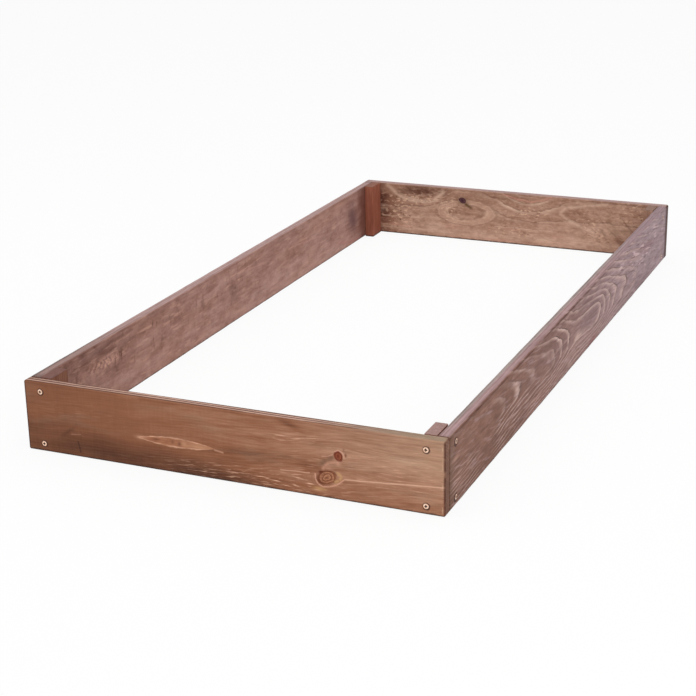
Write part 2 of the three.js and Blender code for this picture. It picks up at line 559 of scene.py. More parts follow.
FOOT_SHADOW_HEIGHT = 7.0
TOP_COVER = 0.92
FOOT_SHADOW_COVER = 0.92
END_COVER = 0.9
WOOD_GLOSS = 0.18
END_TONE = colour(150, 109, 88)
ARRIS_SHADE_TONE = colour(74, 38, 28)
PAINTED_SHADOW_TONE = colour(46, 32, 28)
BRUISE_SHADOW_AND_CHECK_TONE = colour(56, 30, 22)


def near_screws(place, screw_along, lean):
    """Distance in millimetres from the nearest screw, when all are moved along the board by a lean."""
    along = (place.along - lean).size() - screw_along
    gaps = [(along ** 2 + (place.height - height) ** 2) ** 0.5 for height in SCREW_HEIGHTS]
    return gaps[0].least(gaps[1])


def wood_surface(tone, relief, roughness):
    """The shader of stained wood: no clear coat, a little gloss, and the grain as relief."""
    bump = relief.node("ShaderNodeBump", {}, {"Height": relief, "Strength": 0.45, "Distance": 0.0012})
    end_material(relief.node(
        "ShaderNodeBsdfPrincipled", {},
        {"Base Color": tone, "Roughness": roughness, "Normal": bump, "Specular IOR Level": WOOD_GLOSS},
    ))


def top_edge(place, tones, ring_share, seed):
    """The planed top: growth rings as dark lines along it, broken by spots of wear."""
    wavering = place.depth + noise(place, 240, 60, seed + 7.0) * 2
    rings = (wavering / TOP_RING_WIDTH + 0.2).phase()
    ring_lines = rings.step(0.35, 0.6) * (1 - rings.step(0.75, 0.95))
    lines = noise(place, 220, 2.6, seed + 8.0, 3.0)
    spots = noise(place, 30, 6, seed + 9.0, 3.0)
    return (ring_lines * ring_share + lines * 0.45 + spots * 0.2 + 0.3).mix(*tones)


def finish_board(
    place, board, stain, relief, top_tones, seed, top_rings=0.2, rim_shade=0.2, joint_shade=0.0,
    bruise_and_shadow=BruiseAndShadow(0, 0, 0.85), end_tone=END_TONE, fibre_relief=0.25, left_shade=0.0,
):
    """Adds the top, the ends, a painted foot shadow and the bruises, with their painted shadow, to a
    board's stain, and makes the shader.

    The shades are shares from 0 to 1 of painted shade: how dark the line under the rim is, the
    last stretch before the joints, and the arris of the left end.
    """
    fibre = straight_grain(place, seed)
    # painted shade: a broken dark line just under the top arris
    rim = ((place.height - BOARD_HEIGHT + RIM_LINE_DROP) / RIM_LINE_WIDTH).bell()
    broken_rim = rim * noise(place, 90, 30, seed + 6.0).step(-0.9, 0.3)
    rimmed = (broken_rim * rim_shade).mix(stain, ARRIS_SHADE_TONE)
    # the top's paler, greyer tones: thin stain, dust and wear, and partly painted light and sheen from
    # above
    on_top = place.height.step(BOARD_HEIGHT - 1.6, BOARD_HEIGHT - 0.1)
    with_top = (on_top * TOP_COVER).mix(rimmed, top_edge(place, top_tones, top_rings, seed))
    # painted shadow: a dark, ragged band along the foot, where the board meets the floor
    ragged_height = place.height + noise(place, 12, 8, seed + 10.0) * 1.6
    foot_shadow = 1 - ragged_height.step(1.0, FOOT_SHADOW_HEIGHT)
    with_foot_shadow = (foot_shadow * FOOT_SHADOW_COVER).mix(with_top, PAINTED_SHADOW_TONE)
    along = place.along.size()
    # painted shade over the last stretch of the face before each joint
    in_corner = along.step(board.half_length - CORNER_SHADE_LENGTH, board.half_length - 1)
    shaded = (in_corner * joint_shade).mix(with_foot_shadow, PAINTED_SHADOW_TONE)
    checks = noise(place._replace(along=place.depth), 26, 2.4, seed + 12.0).step(0.2, 0.9)
    end_rings = late_wood(ring_count(place, 60, 36, 0.0, END_RING_WIDTH) + checks * 0.2, 0.2, 0.7)
    at_end = along.step(board.half_length - board.end_rounding * 0.7, board.half_length - 0.3)
    end_grain = (checks * 0.35 + end_rings * 0.3).mix(end_tone, BRUISE_SHADOW_AND_CHECK_TONE)
    with_ends = (at_end * END_COVER).mix(shaded, end_grain)
    # painted shade: a ragged dark line along the rounded arris at each end, and on the left end's arris
    ragged_arris = noise(place, 20, 24, seed + 14.0).step(-0.9, 0.3) * board.arris_share
    ragged_arris = ragged_arris.most((1 - place.along.step(-9, 9)) * left_shade)
    arris = hoop(along, board.half_length - board.end_rounding * 0.35, ARRIS_LINE_WIDTH) * ragged_arris
    edged = arris.mix(with_ends, ARRIS_SHADE_TONE)
    # the dark ring round each screw: bruised fibres, and painted shadow of the countersink where the lean
    # moves the ring off the screw
    gap = near_screws(place, board.screw_along, bruise_and_shadow.lean) + noise(place, 7, 7, seed + 13.0) * 0.9
    start = BRUISE_AND_SHADOW_START + bruise_and_shadow.spread
    bruise_and_shadow_mask = 1 - gap.step(start, start + BRUISE_AND_SHADOW_WIDTH)
    finished = (bruise_and_shadow_mask * bruise_and_shadow.share).mix(edged, BRUISE_SHADOW_AND_CHECK_TONE)
    wood_surface(finished, relief + fibre * fibre_relief - bruise_and_shadow_mask * 0.8, 0.7 + fibre * 0.05)


print("end board:", END_BOARD)

# %% [markdown]
# ## Three branches
#
# Three branches cross the front board, and each leaves another mark. One lies along the board
# and only grazes its outer face: a long pale boat with torn edges, which fades out inside the
# board. Two are cut straight across, as a large round knot and a small red one. They could all
# be worked into the wood's own function, but each is one of its own here, and paints its branch
# over the wood that it is given. So they can be tried and changed one at a time.

# %% Branches
def boat(base, place):
    """A branch cut lengthwise: a long pale boat with torn edges and a few dark specks."""
    from_tip = (place.along + 106) / 87
    half_height = (1 - from_tip ** 2).most(0.001) * 8.9
    rim = (place.height - 65).size() / half_height + noise(place, 14, 6, 10.0) * 0.16
    wood = (noise(place, 24, 4, 11.0) * 0.5 + 0.5).mix(colour(176, 120, 88), colour(138, 86, 62))
    paler = patch(place, (-56, 64), (26, 9)) * 0.6 + patch(place, (-88, 66), (6, 6)) * 0.5
    filled = ((1 - rim.step(0.8, 1.1)) * 0.9).mix(base, paler.mix(wood, colour(204, 154, 120)))
    torn = hoop(rim, 1.0, 0.17) * (0.65 + noise(place, 22, 9, 12.0) * 0.6)
    bow = patch(place, (-184, 65), (11, 4)) * 0.5
    stern = stroke(place, (-22, 63), (-2, 60), 1.8) * 0.5
    edged = (torn + bow + stern).mix(filled, colour(220, 168, 138))
    specks = patch(place, (-113, 66), (3.4, 4)) + patch(place, (-98, 64), (3.4, 5))
    crack = patch(place, (-150, 66), (9, 2))
    painted = ((specks + crack) * 0.5).mix(edged, colour(92, 54, 38))
    return (1 - place.depth.step(8, 16)).mix(base, painted)


def large_knot(base, place):
    """The large round knot: soft rings, a dark crescent at its lower left, pale wood round it, and a
    painted shadow and painted highlight on the swelling above it.
    """
    # painted shadow beside the swelling above the knot
    shadow = path(place, [(229, 87), (215, 79), (203, 68)], 6)
    shadowed = (shadow * 0.5).mix(base, colour(92, 66, 50))
    # painted highlight on the swelling: a pale arc and a bright spot
    swelling_highlight = path(place, [(206, 58), (210, 66), (220, 74), (233, 77)], 3)
    swelling_highlight = swelling_highlight + patch(place, (219, 63), (8, 4)) * 0.8
    highlighted_swelling = (swelling_highlight * 0.5).mix(shadowed, colour(206, 150, 126))
    tones = (colour(122, 72, 48), colour(188, 132, 100))
    rings = knot_colour(highlighted_swelling, place, (215, 43), (20, 14), 0.2, tones, 2.6, 13.0, bark=0.3)
    eye = radii_from(place, (215, 43), (21, 15), 0.2)
    crescent = hoop(eye, 0.95, 0.22) * patch(place, (202, 36), (14, 15))
    over = path(place, [(202, 53), (215, 57), (229, 57), (235, 50)], 1.4) * 0.7
    over = over + patch(place, (202, 53), (4, 3))
    left_arcs = (hoop(eye, 1.22, 0.06) + hoop(eye, 1.5, 0.06)) * patch(place, (190, 38), (12, 24))
    darkened = ((crescent + over + left_arcs * 0.7) * 0.85).mix(rings, colour(96, 46, 26))
    tan_wood = path(place, [(236, 57), (245, 49), (240, 41), (230, 36)], 3)
    tan_wood = (tan_wood + patch(place, (199, 18), (13, 4))) * 0.7
    tanned = tan_wood.mix(darkened, colour(200, 156, 108))
    outline = path(
        place, [(191, 48), (191, 37), (196, 28), (206, 23), (220, 25), (235, 31), (250, 44)], 1.5,
    )
    return (outline * 0.75 + left_arcs * 0.2).mix(tanned, colour(216, 162, 136))


def small_knot(base, place):
    """The small red knot, with a thin pale line over it."""
    tones = (colour(108, 48, 30), colour(148, 82, 56))
    knot = knot_colour(base, place, (239, 90), (8.5, 10), -0.3, tones, 1.6, 14.0, bark=0.8)
    pale_wood = (
        path(place, [(231, 98), (239, 102.5), (248, 98), (251, 89)], 1.3)
        + patch(place, (238, 75), (5, 5)) * 0.6
        + path(place, [(205, 85), (218, 87), (228, 92)], 1.2) * 0.6
    )
    rimmed = (pale_wood * 0.8).mix(knot, colour(214, 160, 138))
    specks = patch(place, (254, 94), (2, 4)) + patch(place, (250, 104), (2, 4)) * 0.6
    return (specks * 0.7).mix(rimmed, colour(92, 46, 34))


print("branches: boat, large_knot, small_knot")

# %% [markdown]
# ## Front board
#
# The front board is cut a little askew to the grain, so its lines rise gently to the right. It
# is dark and orange where it soaked up stain, at the lower left, and paler to the right. Three
# branches cross it: a long pale boat left of the middle, and to the right a large round knot
# with a small red one above it. The fibres part round all three.
#
# A single long sum could colour the board, but nobody could find a mark in it again. So each
# board is painted in steps, as a decorator grains a door: the stain first, then its lines and
# fibres, then knots and spots. Every step takes the colour so far as its base, and gives it back
# with one more kind of mark on it.

# %% Front board grain
def front_grain(place):
    """The board with its grain parted round three branches, and the pale lines of its rings."""
    rising = place._replace(height=place.height - place.along * 0.045 + noise(place, 260, 50, 1.0) * 4)
    flow = part_round(rising, (237, 80), (70, 26), 0.8)
    flow = part_round(flow, (214, 30), (110, 42), 0.75)
    flow = part_round(flow, (-105, 68), (170, 30), 0.55)
    rings = flow.height / 6.8 + place.depth / 9 + noise(flow, 150, 12, 2.0) * 0.6
    return flow, late_wood(rings, 0.4, 0.84)


print("front board: grain")

# %% Front board stain
def front_stain(place, flow, rougher):
    """Orange-brown clouds, greyer and paler to the upper right."""
    low_right = (1 - place.height.step(10, 62)) * place.along.step(-270, -170)
    tone = (
        0.57
        + place.along * 0.00042
        + noise(flow, 260, 14, 3.0) * (rougher * 0.07 + 0.04)
        + noise(place, 110, 34, 4.0) * 0.10
        + noise(place, 5, 70, 15.0) * (0.035 - rougher * 0.02)
        + noise(flow, 50, 6, 5.0, 3.0) * (rougher * 0.10 + 0.03)
        - patch(place, (-240, 18), (260, 40), -0.06) * 0.33
        - patch(place, (-50, 24), (120, 26)) * 0.06
        - patch(place, (-20, 8), (90, 22)) * 0.22
        - patch(place, (60, 66), (150, 11)) * 0.20
        - patch(place, (140, 139), (24, 6), -0.3) * 0.30
        - patch(place, (182, 60), (26, 16)) * 0.16
        - low_right * 0.09
        + patch(place, (400, 100), (100, 50)) * 0.06
    )
    stain = tone.ramp(
        (0.0, colour(82, 46, 30)), (0.5, colour(142, 91, 64)), (1.0, colour(190, 143, 116)),
    )
    upper_right = place.along.step(80, 430) * place.height.step(10, 110)
    greyed = noise(place, 130, 30, 6.0).step(0.0, 1.0) * 0.3 + upper_right * 0.4
    return greyed.mix(stain, tone.ramp((0.0, colour(78, 56, 46)), (1.0, colour(190, 158, 132))))


print("front board: stain")

# %% Front board lines
def front_fibres(base, place, flow, line, rougher):
    """Pale dashes, the lines of the rings and dark fibres."""
    pale_share = (
        rougher * 0.05
        + 0.01
        + patch(place, (60, 20), (150, 15)) * 1.2
        + patch(place, (150, 114), (75, 8), 0.1) * 0.8
        + patch(place, (340, 76), (140, 40)) * 0.5
        + patch(place, (-330, 96), (120, 20)) * 0.14
        + patch(place, (180, 24), (40, 24)) * 0.5
    )
    lined = (dashes(flow, 34, 2.6, 7.0) * pale_share).mix(base, colour(228, 180, 152))
    lined = (line * (rougher * 0.06 + 0.03)).mix(lined, colour(206, 160, 132))
    return (dashes(flow, 60, 3.6, 8.0) * (rougher * 0.2 + 0.04)).mix(lined, colour(84, 52, 38))


def front_drawn_lines(base, place):
    """The few bright lines that stand out, and a dark nick near the left end."""
    wavering = place._replace(height=place.height + noise(place, 40, 20, 9.0) * 1.2)
    bright_rise = path(wavering, [(250, 44), (300, 48), (372, 54), (449, 60)], 1.3)
    bright_left = stroke(wavering, (-345, 48), (-322, 50), 1.2) * 0.3
    bright_middle = stroke(wavering, (118, 44), (180, 47), 1.2)
    bright_lines = bright_rise * 0.8 + (bright_left + bright_middle) * 0.6
    drawn = bright_lines.mix(base, colour(222, 176, 150))
    nick = path(place, [(-331, 35), (-328, 24), (-326, 10)], 1.6)
    dent = patch(place, (-352, 52), (16, 5), 0.7) * 0.5
    return ((nick + dent) * 0.8).mix(drawn, colour(62, 34, 28))


def front_end_lines(base, place):
    """A painted highlight on the right end's arris and painted shade on the left end's arris."""
    # painted highlight on the rounded arris of the right end
    arris_highlight = stroke(place, (445, 8), (445.2, 142), 1.2) * noise(place, 9, 12, 16.0).step(-0.1, 0.7)
    with_highlight = (arris_highlight * 0.6).mix(base, colour(212, 178, 150))
    # painted shade on the rounded arris of the left end
    left_arris_shade = stroke(place, (-446.6, 5), (-446.6, 144), 1.6)
    return (left_arris_shade * 0.7).mix(with_highlight, colour(66, 38, 30))


print("front board: fibres, drawn lines, end lines")

# %% Front board wood
def front_board_wood():
    """The front board's material, from its stain up to its ends and its top."""
    material, where = start_material("front_board_stain")
    place = place_on(where, X_AXIS, Y_AXIS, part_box("front_end_board")[0].y)
    flow, line = front_grain(place)
    rougher = place.along.step(-240, 120)
    stained = front_stain(place, flow, rougher)
    fibred = front_fibres(stained, place, flow, line, rougher)
    drawn = front_drawn_lines(fibred, place)
    branched = small_knot(large_knot(boat(drawn, place), place), place)
    done = front_end_lines(branched, place)
    to_right = place.along.step(150, 420)
    top_tones = (
        to_right.mix(colour(214, 174, 156), colour(172, 148, 126)),
        to_right.mix(colour(92, 58, 46), colour(112, 90, 70)),
    )
    finish_board(
        place, END_BOARD, done, line * (rougher * 0.35 + 0.1), top_tones, seed=17.0,
        top_rings=1 - to_right, bruise_and_shadow=BruiseAndShadow(lean=1.2, spread=0.2, share=0.85),
        fibre_relief=rougher * 0.15 + 0.06, left_shade=0.9,
    )
    return material


front_wood = front_board_wood()
print("front board:", len(front_wood.node_tree.nodes), "nodes")

# %% [markdown]
# ## Right board
#
# The right board is sawn from near the middle of a trunk that tapers away from it: the rings
# come to the face as a row of arches, all pointing to the far end. The remains of a branch have
# pulled some of them into a closed eye. The stain is brown at the near end and greyer far away.
#
# The arches could be drawn one by one, as lines through points. Here one sum makes them all: the
# ring count rises along the board and with the distance from the arches' axis, so its lines bend
# into arches by themselves. A few patches and fans then push them into place.

# %% Right board rings
def fan(place, middle, reach, strength):
    """Turns the lines near a spot, as where the limbs of two arches run together."""
    return patch(place, middle, reach) * (place.along - middle[0]) * strength


def right_rings(place, sinking):
    """The ring count, which bends into arches round an axis 84 mm up in the middle of the board."""
    wavering = noise(place, 200, 70, 21.0) * 4 + noise(place, 46, 14, 22.0) * 1.6
    from_axis = sinking.height - 84 + wavering
    below = (from_axis * -1.0 - place.along * 0.010 - 27).most(0.0)
    above = from_axis.most(0.0)
    return (
        place.along / 100
        + from_axis ** 2 / 9000
        + ((above ** 2 + 196) ** 0.5 - 14) / 24
        + ((below ** 2 + 30) ** 0.5 - 5.5) / 10.5
        - patch(place, (150, 80), (105, 46)) * 1.5
        - patch(place, (-215, 90), (50, 60)) * 0.4
        + patch(place, (-60, 90), (50, 50)) * 0.3
        + fan(place, (-545, 40), (90, 34), 0.012)
        + fan(place, (-140, 45), (160, 34), 0.008)
        + fan(place, (250, 35), (150, 34), 0.008)
        + noise(place, 90, 26, 23.0) * 0.14
        + 16.4
    )


print("right board: rings")

# %% Right board stain
def right_stain(place, sinking):
    """Brown clouds near by, mauve-grey ones far away."""
    tone = (
        0.47
        + place.along.step(-300, 600) * 0.07
        + noise(sinking, 150, 10, 24.0, 3.0) * 0.12
        + noise(place, 130, 40, 25.0) * 0.12
        + noise(place, 40, 14, 26.0, 3.0) * 0.16
        + noise(sinking, 26, 5, 20.0, 3.0) * 0.10
        + patch(place, (-850, 96), (34, 5)) * 0.45
        - patch(place, (-540, 20), (90, 22)) * 0.12
        - patch(place, (-740, 18), (220, 34)) * 0.10
        - patch(place, (-340, 76), (130, 40)) * 0.06
        + patch(place, (-80, 26), (330, 30)) * 0.12
        + patch(place, (420, 90), (170, 40)) * 0.08
        - patch(place, (110, 88), (42, 22)) * 0.16
        + patch(place, (600, 60), (320, 80)) * 0.06
        - patch(place, (560, 15), (110, 20)) * 0.16
    )
    near_stain = tone.ramp(
        (0.0, colour(86, 55, 44)), (0.5, colour(130, 91, 76)), (1.0, colour(174, 134, 118)),
    )
    far_stain = tone.ramp(
        (0.0, colour(108, 88, 94)), (0.5, colour(156, 132, 138)), (1.0, colour(192, 170, 175)),
    )
    to_far = (place.along + noise(place, 200, 50, 27.0) * 120).step(-750, 1050)
    return to_far.mix(near_stain, far_stain)


print("right board: stain")

# %% Right board lines
def right_lines(base, place, rings, smooth_wood):
    """The pale and dark lines of the rings, and wide pale bands in the far half."""
    line_share = (
        0.46
        - smooth_wood * 0.6
        + patch(place, (-470, 95), (50, 40)) * 0.5
        + patch(place, (-190, 112), (80, 34)) * 0.4
        + patch(place, (-60, 60), (130, 50)) * 0.3
        + patch(place, (300, 80), (190, 70)) * 0.25
        - patch(place, (-335, 95), (60, 36)) * 0.26
        - patch(place, (-225, 84), (40, 36)) * 0.20
        + patch(place, (-500, 40), (140, 30)) * 0.4
        - patch(place, (-760, 100), (190, 34)) * 0.46
        - patch(place, (760, 60), (250, 90)) * 0.36
        - patch(place, (-640, 140), (300, 16)) * 0.3
    ) * (0.85 + noise(place, 70, 20, 28.0) * 0.9)
    lined = (late_wood(rings, 0.42, 0.82) * line_share).mix(base, colour(208, 176, 166))
    phase = rings.phase()
    wide_line = phase.step(0.15, 0.7) * (1 - phase.step(0.82, 1.0))
    far_bands = wide_line * patch(place, (310, 84), (190, 56))
    banded = (far_bands * 0.6).mix(lined, colour(198, 168, 163))
    dark_line = phase.step(0.82, 0.92) * (1 - phase.step(0.94, 1.0))
    return (dark_line * line_share).mix(banded, colour(80, 54, 48))


def right_streaks(base, place, sinking, smooth_wood):
    """Streaks along the board, pale and dark far away, pale near by, and dark fibres."""
    falling = place._replace(height=place.height + place.along * 0.16)
    far_share = patch(place, (580, 106), (240, 34)) * 1.2 + patch(place, (680, 72), (60, 22)) * 0.6 + 0.18
    streaked = (dashes(falling, 70, 10, 29.0) * far_share * 1.3).mix(base, colour(216, 186, 188))
    far_dark = patch(place, (580, 102), (260, 44)) * 0.8 + place.along.step(0, 500) * 0.2
    streaked = (dashes(falling, 60, 8, 19.0) * far_dark).mix(streaked, colour(92, 66, 76))
    near_share = patch(place, (-340, 40), (340, 28)) * 0.4 + patch(place, (-800, 52), (80, 20)) * 0.7 + 0.10
    near_share = near_share - smooth_wood * 0.4
    streaked = (dashes(sinking, 80, 7, 30.0) * near_share * 1.2).mix(streaked, colour(200, 162, 150))
    return (dashes(sinking, 80, 6, 31.0) * 0.38).mix(streaked, colour(82, 56, 50))


def right_spots_and_ends(base, place):
    """Two reddish spots, and darker wood towards both ends."""
    spots = patch(place, (120, 11), (42, 8)) * 0.6 + patch(place, (640, 98), (120, 12), -0.1) * 0.25
    spotted = spots.mix(base, colour(132, 74, 72))
    near_end = 1 - (place.along + noise(place, 30, 30, 32.0) * 8).step(-874, -838)
    browned = (near_end * 0.6).mix(spotted, colour(106, 76, 58))
    far_end = (place.along + noise(place, 20, 30, 33.0) * 5).step(852, 876)
    return (far_end * 0.6).mix(browned, colour(86, 70, 74))


print("right board: lines, streaks, spots and ends")

# %% Right board wood
def right_board_wood():
    """The right board's material: a row of arches, brown near by and greyer far away."""
    material, where = start_material("right_board_stain")
    place = place_on(where, Y_AXIS, X_AXIS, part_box("right_side_board")[1].x)
    sinking = place._replace(height=place.height + place.along * 0.0375)
    smooth_wood = patch(place, (-655, 38), (62, 48)) + patch(place, (-452, 30), (46, 40)) * 0.9
    rings = right_rings(place, sinking)
    lined = right_lines(right_stain(place, sinking), place, rings, smooth_wood)
    streaked = right_streaks(lined, place, sinking, smooth_wood)
    done = right_spots_and_ends(streaked, place)
    to_far = place.along.step(100, 700)
    inside = place.depth.step(12, 18) * place.along.step(-860, -780) * 0.8
    top_tones = (
        to_far.mix(inside.mix(colour(184, 151, 151), colour(172, 160, 154)), colour(170, 142, 146)),
        to_far.mix(inside.mix(colour(118, 90, 90), colour(106, 96, 92)), colour(108, 86, 88)),
    )
    finish_board(
        place, SIDE_BOARD, done, late_wood(rings, 0.42, 0.82) * 0.6, top_tones, seed=34.0,
        rim_shade=(1 - place.along.step(-100, 500)) * 0.75, joint_shade=0.05,
        bruise_and_shadow=BruiseAndShadow(lean=-5, spread=2, share=0.8 - place.along.step(0, 800) * 0.55),
    )
    return material


right_wood = right_board_wood()
print("right board:", len(right_wood.node_tree.nodes), "nodes")

# %% [markdown]
# ## Left board
#
# The left board was cut far from the pith, so its rings barely show. What shows is the machine
# and the brush: cloudy stain, pale flecks where fibres were torn and stood clear of it, and short
# dark marks across the board. An image of such wood would stop at the edges of a face. Here
# layers of noise run through the whole board, and patches say where each mark is common.

# %% Left board stain
def left_stain(place):
    """Mauve-brown clouds, some of them more orange."""
    tone = (
        0.55
        + noise(place, 120, 9, 40.0, 3.0) * 0.10
        + noise(place, 90, 34, 43.0) * 0.14
        + noise(place, 40, 20, 44.0, 3.0) * 0.17
        + noise(place, 20, 7, 39.0, 3.0) * 0.10
        + noise(place, 10, 5, 37.0) * 0.07
        + (1 - place.height.step(0, 70)) * 0.17
        - patch(place, (-640, 75), (220, 90)) * 0.05
        - patch(place, (-700, 130), (230, 34)) * 0.27
        + patch(place, (460, 75), (250, 110)) * 0.11
        - patch(place, (-30, 75), (20, 24)) * 0.34
        + patch(place, (-95, 112), (40, 18)) * 0.16
        + patch(place, (640, 110), (44, 40)) * 0.14
    )
    stain = tone.ramp(
        (0.0, colour(92, 57, 49)), (0.5, colour(149, 109, 98)), (1.0, colour(190, 152, 142)),
    )
    orange = noise(place, 160, 50, 45.0).step(-0.4, 0.9) * 0.5
    return orange.mix(stain, tone.ramp((0.0, colour(98, 56, 40)), (1.0, colour(186, 138, 118))))


print("left board: stain")

# %% Left board marks
def left_flecks(base, place):
    """Pale flecks, a torn feather near the front end and a few pale lines."""
    fleck_share = (
        0.30
        + patch(place, (-500, 106), (300, 24)) * 0.25
        + patch(place, (-220, 30), (60, 26)) * 0.3
        + patch(place, (-10, 110), (60, 26)) * 0.3
        + patch(place, (600, 60), (90, 30)) * 0.35
    )
    flecked = (dashes(place, 44, 9, 46.0) * fleck_share).mix(base, colour(208, 162, 142))
    feather = place._replace(height=place.height + (place.along + 640) ** 2 * 0.0015)
    torn = patch(place, (-636, 98), (62, 12)) * noise(feather, 10, 7, 47.0).step(-0.3, 0.4)
    wobbly = place._replace(height=place.height + noise(place, 40, 30, 38.0) * 3)
    lines = stroke(wobbly, (300, 104), (500, 84), 2.4) + stroke(wobbly, (40, 112), (140, 106), 2.0)
    flecked = (torn * 0.8).mix(flecked, colour(210, 162, 142))
    return (lines * 0.3).mix(flecked, colour(204, 150, 140))


def left_dark_marks(base, place):
    """Short dark marks across the board, and fibres along it."""
    upright = noise(place, 15, 34, 48.0, 3.0).step(0.15, 1.1)
    mark_share = (
        patch(place, (-480, 104), (330, 34)) * 0.9
        + patch(place, (-20, 100), (90, 40)) * 0.7
        + patch(place, (330, 70), (90, 40)) * 0.7
        + patch(place, (740, 120), (60, 20)) * 0.4
        + 0.16
    )
    marked = (upright * mark_share).mix(base, colour(92, 56, 46))
    return (dashes(place, 60, 3.0, 49.0) * 0.16).mix(marked, colour(90, 60, 52))


def left_far_corner(base, place):
    """Darker in the far inside corner, with a mauve patch and a pink band beside it."""
    inner_side = place.depth.step(9, 18)
    mauve_patch = patch(place, (722, 78), (34, 42), -0.4) * inner_side * 0.75
    mauve = mauve_patch.mix(base, colour(98, 66, 70))
    far_dark = (place.along + noise(place, 30, 40, 50.0) * 12).step(735, 800) * inner_side * 0.8
    darkened = far_dark.mix(mauve, colour(100, 54, 42))
    pink_band = path(place, [(610, 34), (680, 16), (775, 7)], 5) * inner_side * 0.4
    return pink_band.mix(darkened, colour(178, 122, 116))


print("left board: flecks, dark marks, far corner")

# %% Left board wood
def left_board_wood():
    """The left board's material: cloudy stain with pale flecks and short upright marks."""
    material, where = start_material("left_board_stain")
    place = place_on(where, Y_AXIS, X_AXIS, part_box("left_side_board")[0].x)
    waved = place._replace(height=place.height + noise(place, 200, 80, 41.0) * 9)
    rings = ring_count(waved, 60, 190, -0.05, 11) + noise(place, 90, 20, 42.0) * 0.3
    line = late_wood(rings, 0.3, 0.8)
    lined = (line * 0.2).mix(left_stain(place), colour(190, 150, 138))
    marked = left_dark_marks(left_flecks(lined, place), place)
    done = left_far_corner(marked, place)
    near_joint = (1 - place.along.step(-760, -520)) * (1 - place.depth.step(5, 9))
    to_near = (1 - place.along.step(-850, -350)) * 0.8
    top_tones = (
        near_joint.mix(to_near.mix(colour(192, 160, 155), colour(158, 130, 122)), colour(104, 90, 86)),
        near_joint.mix(to_near.mix(colour(128, 98, 94), colour(100, 76, 72)), colour(58, 48, 46)),
    )
    finish_board(place, SIDE_BOARD, done, line * 0.4, top_tones, seed=51.0, joint_shade=0.4)
    return material


left_wood = left_board_wood()
print("left board:", len(left_wood.node_tree.nodes), "nodes")

# %% [markdown]
# ## Back board
#
# The back board is cut from just under the bark, so that each ring shows as a wide band, and the
# board is really a map of the bumps of the trunk. So its rings are counted from heights: a slow
# rise from foot to top, with a hill wherever the trunk had a bulge. Under a small black knot one
# ring closes on itself, and it is drawn as a wavering hoop. The dark red at the left end is partly
# red wood and partly painted shade from the batten in that corner, and it is kept to the inner
# side of the board.

# %% Back board rings
def back_eye(place):
    """The distance from the closed ring's middle, in radii. It grows towards the outer side."""
    return (
        radii_from(place, (-131, 81), (70, 28), 0.03)
        + noise(place, 80, 34, 74.0) * 0.13
        + noise(place, 18, 10, 76.0) * 0.05
        + (25 - place.depth) / 42
    )


def back_rings(place):
    """The ring count: a slow rise with two hills and a dip."""
    hill = 1 - radii_from(place, (-273, 158), (88, 56)).step(0.55, 1.25)
    return (
        place.height / 60
        + hill * 2.6
        + patch(place, (52, 172), (84, 66)) * 2.4
        - patch(place, (-131, 92), (99, 38)) * 0.8
        + noise(place, 110, 36, 61.0) * 0.16
        + noise(place, 30, 12, 62.0) * 0.10
        + (25 - place.depth) / 30
        + 0.5
    ).most(0.1)


print("back board: rings")

# %% Back board stain
def back_stain(place):
    """Tan clouds, a little olive here and there, and dark red at the left end's inner side, partly red wood
    and partly painted shade from the batten.
    """
    inner_side = place.depth.step(9, 18)
    tone = (
        0.58
        + noise(place, 10, 5, 75.0) * 0.08
        + noise(place, 110, 9, 60.0, 3.0) * 0.10
        + noise(place, 60, 26, 63.0) * 0.15
        + noise(place, 26, 14, 64.0, 3.0) * 0.18
        - place.height.step(90, 135) * 0.05
        - patch(place, (-278, 134), (66, 24)) * 0.44
        - patch(place, (-110, 132), (110, 18)) * 0.09
        # painted shade from the batten, on the left end's inner side only
        - patch(place, (-395, 72), (34, 50)) * inner_side * 0.26
        - patch(place, (-415, 75), (38, 130)) * inner_side * 0.50
        - patch(place, (50, 18), (60, 22)) * 0.16
        - patch(place, (-118, 86), (40, 20)) * 0.10
        - patch(place, (190, 106), (40, 14)) * 0.16
        - patch(place, (40, 138), (70, 8)) * 0.22
        + patch(place, (10, 18), (360, 20)) * 0.24
        + patch(place, (-250, 30), (90, 30)) * 0.14
        + patch(place, (170, 30), (80, 24)) * 0.16
        + patch(place, (270, 70), (70, 30)) * 0.10
        + patch(place, (390, 128), (50, 34)) * 0.10
    )
    stain = tone.ramp(
        (0.0, colour(98, 62, 48)), (0.5, colour(162, 121, 101)), (1.0, colour(204, 166, 146)),
    )
    olive = noise(place, 80, 40, 65.0).step(-0.1, 0.9) * 0.22
    clouded = olive.mix(stain, tone.ramp((0.0, colour(96, 74, 54)), (1.0, colour(192, 162, 132))))
    # dark red at the left end's inner side: red wood and painted shade from the batten
    red_wood_and_shade = patch(place, (-425, 90), (70, 150)) * inner_side * 0.95
    return red_wood_and_shade.mix(clouded, tone.ramp((0.0, colour(84, 44, 32)), (1.0, colour(176, 116, 90))))


print("back board: stain")

# %% Back board lines
def back_lines(base, place, rings, line, outside_eye):
    """The rings' pale and dark lines, left out inside the closed ring."""
    line_share = (
        0.20
        + patch(place, (-280, 106), (95, 14)) * 0.5
        - patch(place, (-273, 142), (60, 20)) * 0.2
        + patch(place, (30, 112), (130, 26)) * 0.6
    ) * (0.85 + noise(place, 50, 20, 66.0) * 0.7)
    lined = (line * line_share).mix(base, colour(212, 178, 156))
    phase = rings.phase()
    dark_line = phase.step(0.85, 0.92) * (1 - phase.step(0.95, 1.0))
    dark_line = dark_line * outside_eye * (place.height.step(24, 60) * 0.7 + 0.3)
    return (dark_line * 0.5).mix(lined, colour(112, 78, 62))


